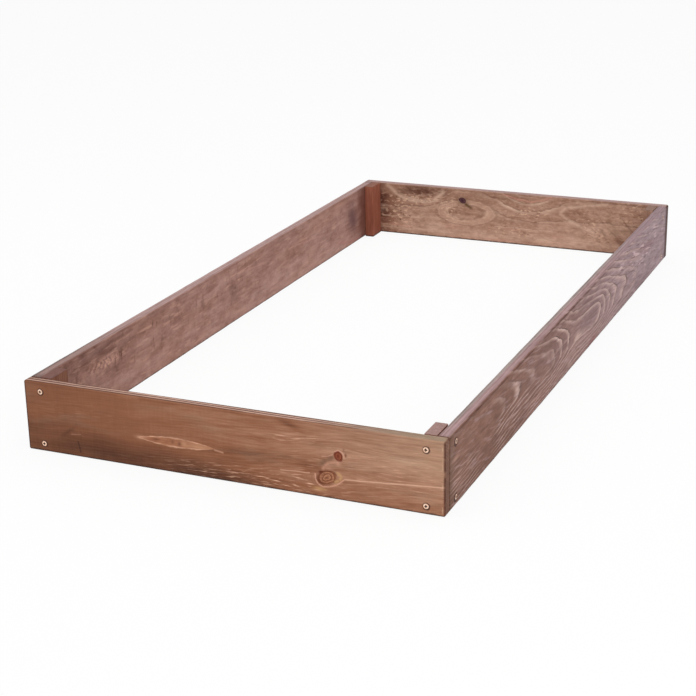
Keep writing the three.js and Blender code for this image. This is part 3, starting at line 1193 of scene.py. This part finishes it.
def closed_ring(base, place, eye):
    """The ring that closes on itself: a wavering pale hoop between dark edges."""
    patchy = noise(place, 44, 22, 77.0) * 0.3 + 0.7
    ring_edges = (hoop(eye, 1.34, 0.08) * 0.3 + hoop(eye, 0.70, 0.09) * 0.4) * patchy
    ring_band = hoop(eye, 1.02, 0.2) * 0.7 * patchy
    ring_lines = (hoop(eye, 0.88, 0.05) + hoop(eye, 1.22, 0.04)) * 0.45 * patchy
    ringed = ring_edges.mix(base, colour(118, 82, 66))
    ringed = ring_band.mix(ringed, colour(202, 162, 140))
    return ring_lines.mix(ringed, colour(216, 182, 158))


def back_drawn_lines(base, place):
    """Pink streaks along the foot, and the single lines that stand out."""
    wobbly = place._replace(height=place.height + noise(place, 34, 20, 67.0) * 3)
    pink_streaks = dashes(place, 120, 9, 78.0) * (1 - place.height.step(20, 70))
    streaked = (pink_streaks * 0.4).mix(base, colour(204, 150, 130))
    right_arch = [(250, 56), (218, 68), (172, 86), (147, 105), (168, 122), (226, 134), (285, 140)]
    left_bowl = [(-380, 148), (-345, 120), (-320, 107), (-270, 104), (-238, 106), (-200, 140)]
    pale_lines = (
        path(wobbly, [(-395, 52), (-330, 54), (-215, 60)], 1.8) * 0.6
        + path(wobbly, [(-45, 47), (30, 49), (130, 48)], 1.8) * 0.5
        + path(wobbly, right_arch, 5) * 0.6
        + path(wobbly, left_bowl, 6) * 0.65
        + path(wobbly, [(-395, 20), (-300, 16), (-180, 24)], 2.2) * 0.4
        + path(wobbly, [(-193, 92), (-185, 70), (-158, 63)], 2.4) * 0.5
    )
    drawn = pale_lines.mix(streaked, colour(210, 176, 154))
    pink_lines = path(wobbly, [(-22, 146), (20, 134), (60, 131), (100, 138), (125, 147)], 2.6) * 0.6
    return pink_lines.mix(drawn, colour(200, 140, 122))


print("back board: lines, closed ring, drawn lines")

# %% Back board spots
def back_flecks(base, place):
    """Dark blotches to the right, and pale flecks, dark pits and fibres all over."""
    crossing = place._replace(height=place.height + place.along * 1.1)
    blotches = noise(crossing, 60, 22, 68.0).step(-0.2, 0.9) * patch(place, (330, 80), (120, 80))
    blotched = (blotches * 0.7).mix(base, colour(112, 76, 58))
    fleck_share = (
        patch(place, (-335, 60), (50, 42)) * 0.9
        + patch(place, (-290, 110), (80, 12)) * 0.9
        + patch(place, (-185, 80), (30, 30)) * 0.7
        + patch(place, (50, 98), (52, 18)) * 0.9
        + patch(place, (250, 60), (34, 30), -0.6) * 0.9
        + patch(place, (370, 115), (46, 30)) * 1.0
        + patch(place, (20, 38), (60, 14)) * 0.6
        + 0.22
    )
    flecks = noise(place, 12, 6, 69.0).step(0.0, 0.7) * fleck_share * 0.9
    flecked = flecks.mix(blotched, colour(220, 182, 154))
    pits = noise(place, 10, 6, 70.0).step(0.3, 0.9) * fleck_share * 0.8
    pitted = pits.mix(flecked, colour(94, 60, 42))
    return (dashes(place, 60, 5, 71.0) * 0.22).mix(pitted, colour(98, 68, 54))


def black_knot(base, place):
    """The small black knot, in a dark halo with a tail."""
    halo = patch(place, (-143, 115), (19, 12)) * 0.6 + stroke(place, (-136, 108), (-114, 95), 5) * 0.85
    haloed = halo.mix(base, colour(98, 70, 48))
    tones = (colour(52, 26, 38), colour(100, 60, 62))
    return knot_colour(haloed, place, (-144, 117), (10, 8), -0.2, tones, 1.1, 72.0, bark=0.8)


print("back board: flecks and knot")

# %% Back board wood
def back_board_wood():
    """The back board's material: wide pale rings round hills, and a small black knot."""
    material, where = start_material("back_board_stain")
    place = place_on(where, X_AXIS, Y_AXIS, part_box("back_end_board")[1].y)
    eye = back_eye(place)
    outside_eye = eye.step(1.1, 1.5)
    rings = back_rings(place)
    line = late_wood(rings, 0.5, 0.84) * outside_eye
    lined = back_lines(back_stain(place), place, rings, line, outside_eye)
    drawn = back_drawn_lines(closed_ring(lined, place, eye), place)
    done = black_knot(back_flecks(drawn, place), place)
    finish_board(
        place, END_BOARD, done, line * 0.5, (colour(190, 162, 158), colour(130, 98, 92)), seed=73.0,
        end_tone=colour(98, 82, 84),
    )
    return material


back_wood = back_board_wood()
print("back board:", len(back_wood.node_tree.nodes), "nodes")

# %% [markdown]
# ## Battens
#
# The battens are offcuts set upright, so their grain runs up and down, and their tops are end
# grain: darker than the boards' tops, with the rings as arcs across them. One material could do
# for all four, but offcuts differ in colour. So one function makes a material for each corner,
# from that corner's tones and seed.

# %% Batten wood
Offcut = namedtuple("Offcut", "seed dark middle light top")

RED_BROWN = (colour(92, 52, 38), colour(128, 82, 62), colour(152, 108, 88))
ORANGE_BROWN = (colour(108, 54, 38), colour(148, 86, 66), colour(172, 110, 88))
TAN = (colour(116, 80, 62), colour(160, 122, 102), colour(192, 154, 130))
BATTEN_TONES = {
    "front_left": Offcut(81.0, *RED_BROWN, top=(colour(132, 92, 84), colour(90, 60, 54))),
    "front_right": Offcut(82.0, *RED_BROWN, top=(colour(178, 144, 138), colour(122, 90, 84))),
    "back_left": Offcut(83.0, *ORANGE_BROWN, top=(colour(150, 100, 82), colour(108, 68, 54))),
    "back_right": Offcut(84.0, *TAN, top=(colour(152, 118, 104), colour(112, 82, 70))),
}


def batten_wood(corner):
    """A batten's material: upright fibres, with the rings as arcs on its top."""
    material, where = start_material(f"batten_stain_{corner}")
    x, y, z = in_millimetres(where)
    place = Place(z, y, x)
    offcut = BATTEN_TONES[corner]
    seed = offcut.seed
    middle = middle_of(f"corner_batten_{corner}")
    rings = ring_count(place, middle.y + 40, 30 - middle.x, 0.02, 4.5) + noise(place, 120, 14, seed) * 0.3
    line = late_wood(rings)
    tone = 0.5 + noise(place, 90, 16, seed + 0.3) * 0.22 + noise(place, 50, 4, seed + 0.5, 3.0) * 0.14
    stain = tone.ramp((0.0, offcut.dark), (0.5, offcut.middle), (1.0, offcut.light))
    lined = (line * 0.16).mix(stain, offcut.light)
    fibre = straight_grain(place, seed + 0.7)
    fibred = (dashes(place, 40, 2.5, seed + 0.8) * 0.2).mix(lined, offcut.dark)
    at_top = z.step(BOARD_HEIGHT - 1.0, BOARD_HEIGHT - 0.2)
    end_grain = line * 0.35 + noise(place, 20, 4, seed + 0.9, 3.0) * 0.35 + 0.3
    with_top = (at_top * 0.95).mix(fibred, end_grain.mix(*offcut.top))
    # painted shadow: a dark band along the foot, where the batten meets the floor
    foot_shadow = 1 - z.step(1.0, 6.0)
    wood_surface((foot_shadow * 0.85).mix(with_top, PAINTED_SHADOW_TONE), fibre * 0.3 + line * 0.4, 0.7 + fibre * 0.05)
    return material


batten_woods = {corner: batten_wood(corner) for corner in BATTEN_TONES}
print("batten materials:", len(batten_woods))

# %% [markdown]
# ## Screw metal
#
# The screws are steel, passivated to a pale brass. One metal for the whole screw would be
# simpler, but the recess is darkened as painted shade: its walls get a second, darker metal,
# made by the same function.

# %% Screw metal
def screw_metal(name, worn, clean, roughness):
    """Metal in clouds of two tones, finely scratched."""
    material, where = start_material(name)
    scratches = where.node("ShaderNodeTexNoise", {}, {"Vector": where, "Scale": 900.0, "Detail": 3.0})
    cloud = where.node("ShaderNodeTexNoise", {}, {"Vector": where, "Scale": 160.0, "Detail": 2.0})
    bump = where.node(
        "ShaderNodeBump", {}, {"Height": scratches, "Strength": 0.15, "Distance": 0.0002},
    )
    end_material(where.node(
        "ShaderNodeBsdfPrincipled", {},
        {
            "Base Color": cloud.step(0.35, 0.65).mix(worn, clean),
            "Metallic": 0.85,
            "Roughness": scratches * 0.2 + roughness,
            "Normal": bump,
        },
    ))
    return material


head_metal = screw_metal("yellow_passivated_steel", colour(238, 190, 160), colour(252, 220, 198), 0.28)
# painted shade: the darker metal for the walls of the recess
recess_shade_metal = screw_metal("recess_painted_shade", colour(44, 32, 26), colour(72, 54, 44), 0.5)
print("screw metals:", head_metal.name, "and", recess_shade_metal.name)

# %% [markdown]
# ## Modelling helpers
#
# Every piece starts as a primitive at its own size and place, and is shaped in edit mode, as it
# would be by hand. An operator works on whatever is selected, so a script has to select on
# purpose: these helpers deselect everything, add a block that fills a box, pick edges by where
# they lie, and apply a modifier as soon as it is set. The place goes into the mesh and the
# object stays at the origin, so patterns on Object coordinates lie where they are meant to be.

# %% Modelling helpers
def deselect_all():
    """Leaves nothing selected."""
    bpy.ops.object.select_all(action="DESELECT")


def only(piece):
    """Makes a piece the only selected one, and the active one."""
    deselect_all()
    piece.select_set(True)
    bpy.context.view_layer.objects.active = piece


def block(name, low, high):
    """A cube that fills a box. Its place goes into its mesh."""
    deselect_all()
    bpy.ops.mesh.primitive_cube_add(size=1, location=(low + high) / 2)
    made = bpy.context.object
    made.name = name
    made.scale = high - low
    bpy.ops.object.transform_apply(location=True, rotation=True, scale=True)
    return made


def select_edges(piece, wanted):
    """In edit mode, selects the edges for which wanted(one end, other end) holds."""
    bpy.ops.mesh.select_mode(type="EDGE")
    bpy.ops.mesh.select_all(action="DESELECT")
    shape = bmesh.from_edit_mesh(piece.data)
    chosen = [edge for edge in shape.edges if wanted(edge.verts[0].co, edge.verts[1].co)]
    for edge in chosen:
        edge.select_set(True)
    bmesh.update_edit_mesh(piece.data)


def modifier(piece, kind, **settings):
    """Adds a modifier, sets it and applies it."""
    only(piece)
    bpy.ops.object.modifier_add(type=kind)
    added = piece.modifiers[-1]
    for name, value in settings.items():
        setattr(added, name, value)
    bpy.ops.object.modifier_apply(modifier=added.name)


print("helpers: only, block, select_edges, modifier")

# %% [markdown]
# ## Planed timber
#
# Planed boards aren't sharp: the planer rounds the long arrises, and the rough ends of the saw
# cut are rubbed off by hand. A Bevel modifier could round every edge alike. Here the edges are
# picked in two lots, because long arrises and ends are eased by different amounts. The timber is
# first cut across many times, so that its arrises have points enough to be worn unevenly.

# %% Planed timber
NEARLY_NOTHING = 1e-5
ARRIS_STEPS = 5
EASING_STEPS = 3
Cut = namedtuple("Cut", "axis arris easing crosscuts")

END_BOARD_CUT = Cut(X_AXIS, arris=0.004, easing=0.0038, crosscuts=60)
SIDE_BOARD_CUT = Cut(Y_AXIS, arris=0.004, easing=0.0008, crosscuts=120)
BATTEN_CUT = Cut(Z_AXIS, arris=0.0012, easing=0.0006, crosscuts=12)


def planed(node, cut):
    """A length of timber like a CAD node: long arrises rounded, both sawn ends eased."""
    low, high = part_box(node)
    axis = cut.axis

    def runs_along(start, end):
        return abs(start[axis] - end[axis]) > NEARLY_NOTHING

    def at_an_end(start, end):
        margins = [min(point[axis] - low[axis], high[axis] - point[axis]) for point in (start, end)]
        return max(margins) < NEARLY_NOTHING

    timber = block(node + "_timber", low, high)
    bpy.ops.object.mode_set(mode="EDIT")
    select_edges(timber, runs_along)
    bpy.ops.mesh.subdivide(number_cuts=cut.crosscuts)
    select_edges(timber, runs_along)
    bpy.ops.mesh.bevel(offset=cut.arris, segments=ARRIS_STEPS, affect="EDGES")
    select_edges(timber, at_an_end)
    bpy.ops.mesh.bevel(offset=cut.easing, segments=EASING_STEPS, affect="EDGES")
    bpy.ops.object.mode_set(mode="OBJECT")
    return timber


print("end boards:", END_BOARD_CUT)

# %% [markdown]
# ## Worn arrises
#
# The arris of a used board is never a straight line: it is dented where the board was knocked
# and set down. Each dent could be pushed in by hand in sculpt mode. Here a Displace modifier
# sinks the arrises by a cloud texture. A vertex group keeps it to the points of the arrises, so
# the faces stay flat and the outside size stays the size of the CAD.

# %% Worn arrises
ARRIS_WEAR = 0.0011
WEAR_PATCH_SIZE = 0.045

wear_clouds = bpy.data.textures.new("arris_wear", "CLOUDS")
wear_clouds.noise_scale = WEAR_PATCH_SIZE


def wear_arrises(timber, node, cut):
    """Sinks the rounded arrises here and there, by up to ARRIS_WEAR. The flats stay flat."""
    low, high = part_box(node)

    def rounded(point):
        margins = sorted(min(point[axis] - low[axis], high[axis] - point[axis]) for axis in range(3))
        return margins[0] > NEARLY_NOTHING and margins[1] < cut.arris

    group = timber.vertex_groups.new(name="arrises")
    group.add([corner.index for corner in timber.data.vertices if rounded(corner.co)], 1.0, "REPLACE")
    modifier(
        timber, "DISPLACE", texture=wear_clouds, texture_coords="LOCAL",
        vertex_group="arrises", mid_level=1.0, strength=ARRIS_WEAR,
    )


print("arrises are worn by up to", ARRIS_WEAR * MILLIMETRES, "mm")

# %% [markdown]
# ## Screws
#
# Sixteen countersunk wood screws hold the bed together. Only their heads show, but each screw is
# modelled whole, because the pieces of the bed can be taken apart. The body is a circle that is
# extruded down its axis and scaled at each step, as a lathe would turn it. The thread is a small
# triangle wound down by the Screw modifier, which gives a real ridge where a bump map would only
# shade one. Two tapered wings cut the cross recess out of the head with a Boolean. All this is
# done once, and the model screw is then copied to the places that the CAD gives.

# %% Screw sizes
SCREW_SIDES = 28
SCREW_LENGTH = screw_high.y - screw_low.y
HEAD_FACE_SHARE = 0.97
HEAD_CHAMFER = 0.0001
RIM_HEIGHT = 0.0005
SHANK_RADIUS = 0.0021
SHANK_LENGTH = 0.018
SHANK_TAPER = 0.001
CORE_RADIUS = 0.00185
THREAD_RADIUS = 0.00275
THREAD_PITCH = 0.0025
THREAD_STEPS = 16
RIDGE_SHARE = 0.8
POINT_LENGTH = 0.007
POINT_NARROWING = 0.94
CLEARANCE = 0.0003
print("screw length and head radius:", round(SCREW_LENGTH, 4), round(HEAD_RADIUS, 4))

# %% Turned shapes
def turned(name, stations):
    """A round bar down the Z axis. Each station is a radius and a depth below the head."""
    deselect_all()
    first_radius, first_depth = stations[0]
    bpy.ops.mesh.primitive_circle_add(
        vertices=SCREW_SIDES, radius=first_radius, fill_type="NGON", location=(0, 0, -first_depth),
    )
    bar = bpy.context.object
    bar.name = name
    bpy.ops.object.transform_apply(location=True, rotation=True, scale=True)
    bpy.ops.object.mode_set(mode="EDIT")
    bpy.ops.mesh.select_all(action="SELECT")
    for (radius, depth), (next_radius, next_depth) in zip(stations, stations[1:]):
        bpy.ops.mesh.extrude_region_move(
            TRANSFORM_OT_translate={"value": (0, 0, depth - next_depth)},
        )
        share = next_radius / radius
        bpy.ops.transform.resize(value=(share, share, 1))
    bpy.ops.mesh.select_all(action="SELECT")
    bpy.ops.mesh.normals_make_consistent(inside=False)
    bpy.ops.object.mode_set(mode="OBJECT")
    return bar


print("turned bars have", SCREW_SIDES, "sides")

# %% Screw body
def screw_thread():
    """A ridge of triangular section wound down the threaded length."""
    deselect_all()
    ridge_radius = (THREAD_RADIUS - CORE_RADIUS) * RIDGE_SHARE
    ridge_middle = (THREAD_RADIUS - ridge_radius, 0, -SHANK_LENGTH)
    quarter_turn = math.pi / 2
    bpy.ops.mesh.primitive_circle_add(
        vertices=3, radius=ridge_radius, fill_type="NOTHING",
        location=ridge_middle, rotation=(quarter_turn, 0, 0),
    )
    ridge = bpy.context.object
    bpy.ops.object.transform_apply(location=True, rotation=True, scale=True)
    bpy.ops.object.mode_set(mode="EDIT")
    bpy.ops.mesh.select_all(action="SELECT")
    bpy.ops.transform.rotate(value=quarter_turn, orient_axis="Y", center_override=ridge_middle)
    bpy.ops.object.mode_set(mode="OBJECT")
    turns = round((SCREW_LENGTH - SHANK_LENGTH - SHANK_TAPER) / THREAD_PITCH)
    modifier(
        ridge, "SCREW", axis="Z", screw_offset=-THREAD_PITCH, iterations=turns,
        steps=THREAD_STEPS, render_steps=THREAD_STEPS,
    )
    bpy.ops.object.mode_set(mode="EDIT")
    bpy.ops.mesh.select_all(action="SELECT")
    bpy.ops.mesh.fill_holes(sides=4)
    bpy.ops.mesh.normals_make_consistent(inside=False)
    bpy.ops.object.mode_set(mode="OBJECT")
    return ridge


def screw_model():
    """A screw without its recess, its head's face at the origin and its point straight below."""
    body = turned("screw", [
        (HEAD_RADIUS * HEAD_FACE_SHARE, 0),
        (HEAD_RADIUS, HEAD_CHAMFER),
        (HEAD_RADIUS, RIM_HEIGHT),
        (SHANK_RADIUS, RIM_HEIGHT + HEAD_RADIUS - SHANK_RADIUS),
        (SHANK_RADIUS, SHANK_LENGTH - SHANK_TAPER),
        (CORE_RADIUS, SHANK_LENGTH),
        (CORE_RADIUS, SCREW_LENGTH - POINT_LENGTH),
        (CORE_RADIUS, SCREW_LENGTH - POINT_LENGTH / 2),
        (CORE_RADIUS, SCREW_LENGTH),
    ])
    ridge = screw_thread()
    only(body)
    ridge.select_set(True)
    bpy.ops.object.join()
    for corner in body.data.vertices:
        into_point = -corner.co.z - (SCREW_LENGTH - POINT_LENGTH)
        share = 1 - POINT_NARROWING * min(max(into_point / POINT_LENGTH, 0), 1)
        corner.co.x *= share
        corner.co.y *= share
        corner.co.z = max(corner.co.z, -SCREW_LENGTH)
    return body


print("thread:", THREAD_PITCH * MILLIMETRES, "mm to a turn")

# %% Cross recess
RECESS_SPAN = 0.0066
RECESS_WING = 0.0022
RECESS_DEPTH = 0.003
RECESS_FLOOR_SHARE = 0.45
CUTTER_OVERLAP = 0.0004
HEAD_SKIN = 0.00005
FACES_UP = 0.9


def cut_recess(screw):
    """Cuts two crossed wings, which narrow towards the floor, into the head."""
    for size in ((RECESS_SPAN, RECESS_WING), (RECESS_WING, RECESS_SPAN)):
        half = Vector((size[0] / 2, size[1] / 2, 0))
        above = Vector((0, 0, CUTTER_OVERLAP))
        wing = block("wing", -half - Vector((0, 0, RECESS_DEPTH)), half + above)
        for corner in wing.data.vertices:
            if corner.co.z < 0:
                corner.co.x *= RECESS_FLOOR_SHARE
                corner.co.y *= RECESS_FLOOR_SHARE
        modifier(screw, "BOOLEAN", operation="DIFFERENCE", solver="EXACT", object=wing)
        bpy.data.objects.remove(wing)


def paint_screw(screw):
    """Bright metal all over, and dark metal as painted shade inside the recess."""
    screw.data.materials.clear()
    screw.data.materials.append(head_metal)
    screw.data.materials.append(recess_shade_metal)
    for face in screw.data.polygons:
        middle = face.center
        towards_axis = face.normal.xy.dot(middle.xy) < 0 or face.normal.z > FACES_UP
        at_its_depth = -RECESS_DEPTH - HEAD_SKIN < middle.z < -HEAD_SKIN
        in_recess = middle.xy.length < RECESS_SPAN / 2 and at_its_depth
        face.material_index = 1 if in_recess and towards_axis else 0


model_screw = screw_model()
cut_recess(model_screw)
paint_screw(model_screw)
print("screw model:", len(model_screw.data.polygons), "faces")

# %% [markdown]
# ## Screws in their places
#
# A screw's name in the CAD says which corner it is in and which board it goes through, and its
# box says where it lies. From these come the middle of its head and the way it points. Sixteen
# linked copies would share one mesh and save memory. Here each copy gets a mesh of its own with
# its place in it, so that every screw is a finished part like the boards are.

# %% Where the screws go
SCREW_SMOOTH_ANGLE = 35
SCREW_NAMES = sorted(name for name in frame["nodes"] if name.startswith("screw_"))


def screw_place(name):
    """The middle of the screw's head, and the turn that points it into the wood."""
    _, end, side, board, _ = name.split("_")
    low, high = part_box(name)
    middle = (low + high) / 2
    outward = {
        ("end", "front"): Vector((0, -1, 0)),
        ("end", "back"): Vector((0, 1, 0)),
        ("side", "left"): Vector((-1, 0, 0)),
        ("side", "right"): Vector((1, 0, 0)),
    }[(board, end if board == "end" else side)]
    turn = outward.to_track_quat("Z", "Y").to_matrix().to_4x4()
    return Matrix.Translation(middle + outward * SCREW_LENGTH / 2) @ turn


def copy_at(model, name, place):
    """A copy with its own mesh, its place in that mesh."""
    copy = model.copy()
    copy.data = model.data.copy()
    copy.name = name
    bpy.context.scene.collection.objects.link(copy)
    copy.matrix_world = place
    only(copy)
    bpy.ops.object.transform_apply(location=True, rotation=True, scale=True)
    return copy


screws = {name: copy_at(model_screw, name + "_threaded", screw_place(name)) for name in SCREW_NAMES}
bpy.data.objects.remove(model_screw)
for name, screw in screws.items():
    only(screw)
    bpy.ops.object.shade_smooth_by_angle(angle=math.radians(SCREW_SMOOTH_ANGLE))
print("screws:", len(screws))

# %% [markdown]
# ## Holes
#
# A screw could just be pushed into the wood, one mesh inside the other. But the real head sits
# in a countersink with a thin dark gap round it, and a board that is lifted off has to show its
# holes. So the holes are cut by a drill, turned as the screw was and a little larger all round.

# %% Drilled holes
DRILL_OVERLAP = 0.004
WOOD_SMOOTH_ANGLE = 40

countersink_top = RIM_HEIGHT + CLEARANCE / 2
drill = turned("drill", [
    (HEAD_RADIUS + CLEARANCE, -DRILL_OVERLAP),
    (HEAD_RADIUS + CLEARANCE, countersink_top),
    (THREAD_RADIUS + CLEARANCE, countersink_top + HEAD_RADIUS - THREAD_RADIUS),
    (THREAD_RADIUS + CLEARANCE, SCREW_LENGTH + CLEARANCE),
])


def drill_holes(timber, names):
    """Cuts the countersunk holes of the named screws out of a piece of timber."""
    cutters = [copy_at(drill, "cutter", screw_place(name)) for name in names]
    for cutter in cutters:
        cutter.select_set(True)
    bpy.ops.object.join()
    cutter = bpy.context.object
    modifier(timber, "BOOLEAN", operation="DIFFERENCE", solver="EXACT", object=cutter)
    bpy.data.objects.remove(cutter)


def finish_timber(timber, wood):
    """Smooths the rounded arrises but not the flats, and gives the timber its wood."""
    only(timber)
    bpy.ops.object.shade_smooth_by_angle(angle=math.radians(WOOD_SMOOTH_ANGLE))
    modifier(timber, "WEIGHTED_NORMAL", keep_sharp=True)
    timber.data.materials.clear()
    timber.data.materials.append(wood)


print("drill:", len(drill.data.polygons), "faces")

# %% [markdown]
# ## Boards and battens
#
# Every board and batten goes the same way: planed to the size of its CAD node, worn along its
# arrises, drilled for the screws that pass through it, and given its wood. The end boards are
# cut with well rounded ends, because these stay in sight at the corners, and the side boards
# with hardly eased ones, because these are butted against the end boards.

# %% Boards and battens
def screws_with(*words):
    """The screws that have all of these words in their names."""
    return [name for name in SCREW_NAMES if set(words) <= set(name.split("_"))]


def make_timber(node, cut, wood, screw_names):
    """One finished board or batten, in the place of its CAD node."""
    timber = planed(node, cut)
    wear_arrises(timber, node, cut)
    drill_holes(timber, screw_names)
    finish_timber(timber, wood)
    print(node, len(screw_names), "holes,", len(timber.data.polygons), "faces")
    return timber


plan = {
    "front_end_board": (END_BOARD_CUT, front_wood, screws_with("front", "end")),
    "back_end_board": (END_BOARD_CUT, back_wood, screws_with("back", "end")),
    "left_side_board": (SIDE_BOARD_CUT, left_wood, screws_with("left", "side")),
    "right_side_board": (SIDE_BOARD_CUT, right_wood, screws_with("right", "side")),
}
for corner, wood in batten_woods.items():
    plan["corner_batten_" + corner] = (BATTEN_CUT, wood, screws_with(*corner.split("_")))
timbers = {node: make_timber(node, *row) for node, row in plan.items()}
bpy.data.objects.remove(drill)

# %% [markdown]
# ## Hand over
#
# Last, every piece is attached to the body that it rides on, and the CAD node that it replaces
# is hidden. The bed has no moving part, so all ride on the same body.

# %% Hand over
for node, timber in timbers.items():
    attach(timber, "root")
    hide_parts(node)
for name, screw in screws.items():
    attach(screw, "root")
    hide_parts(name)
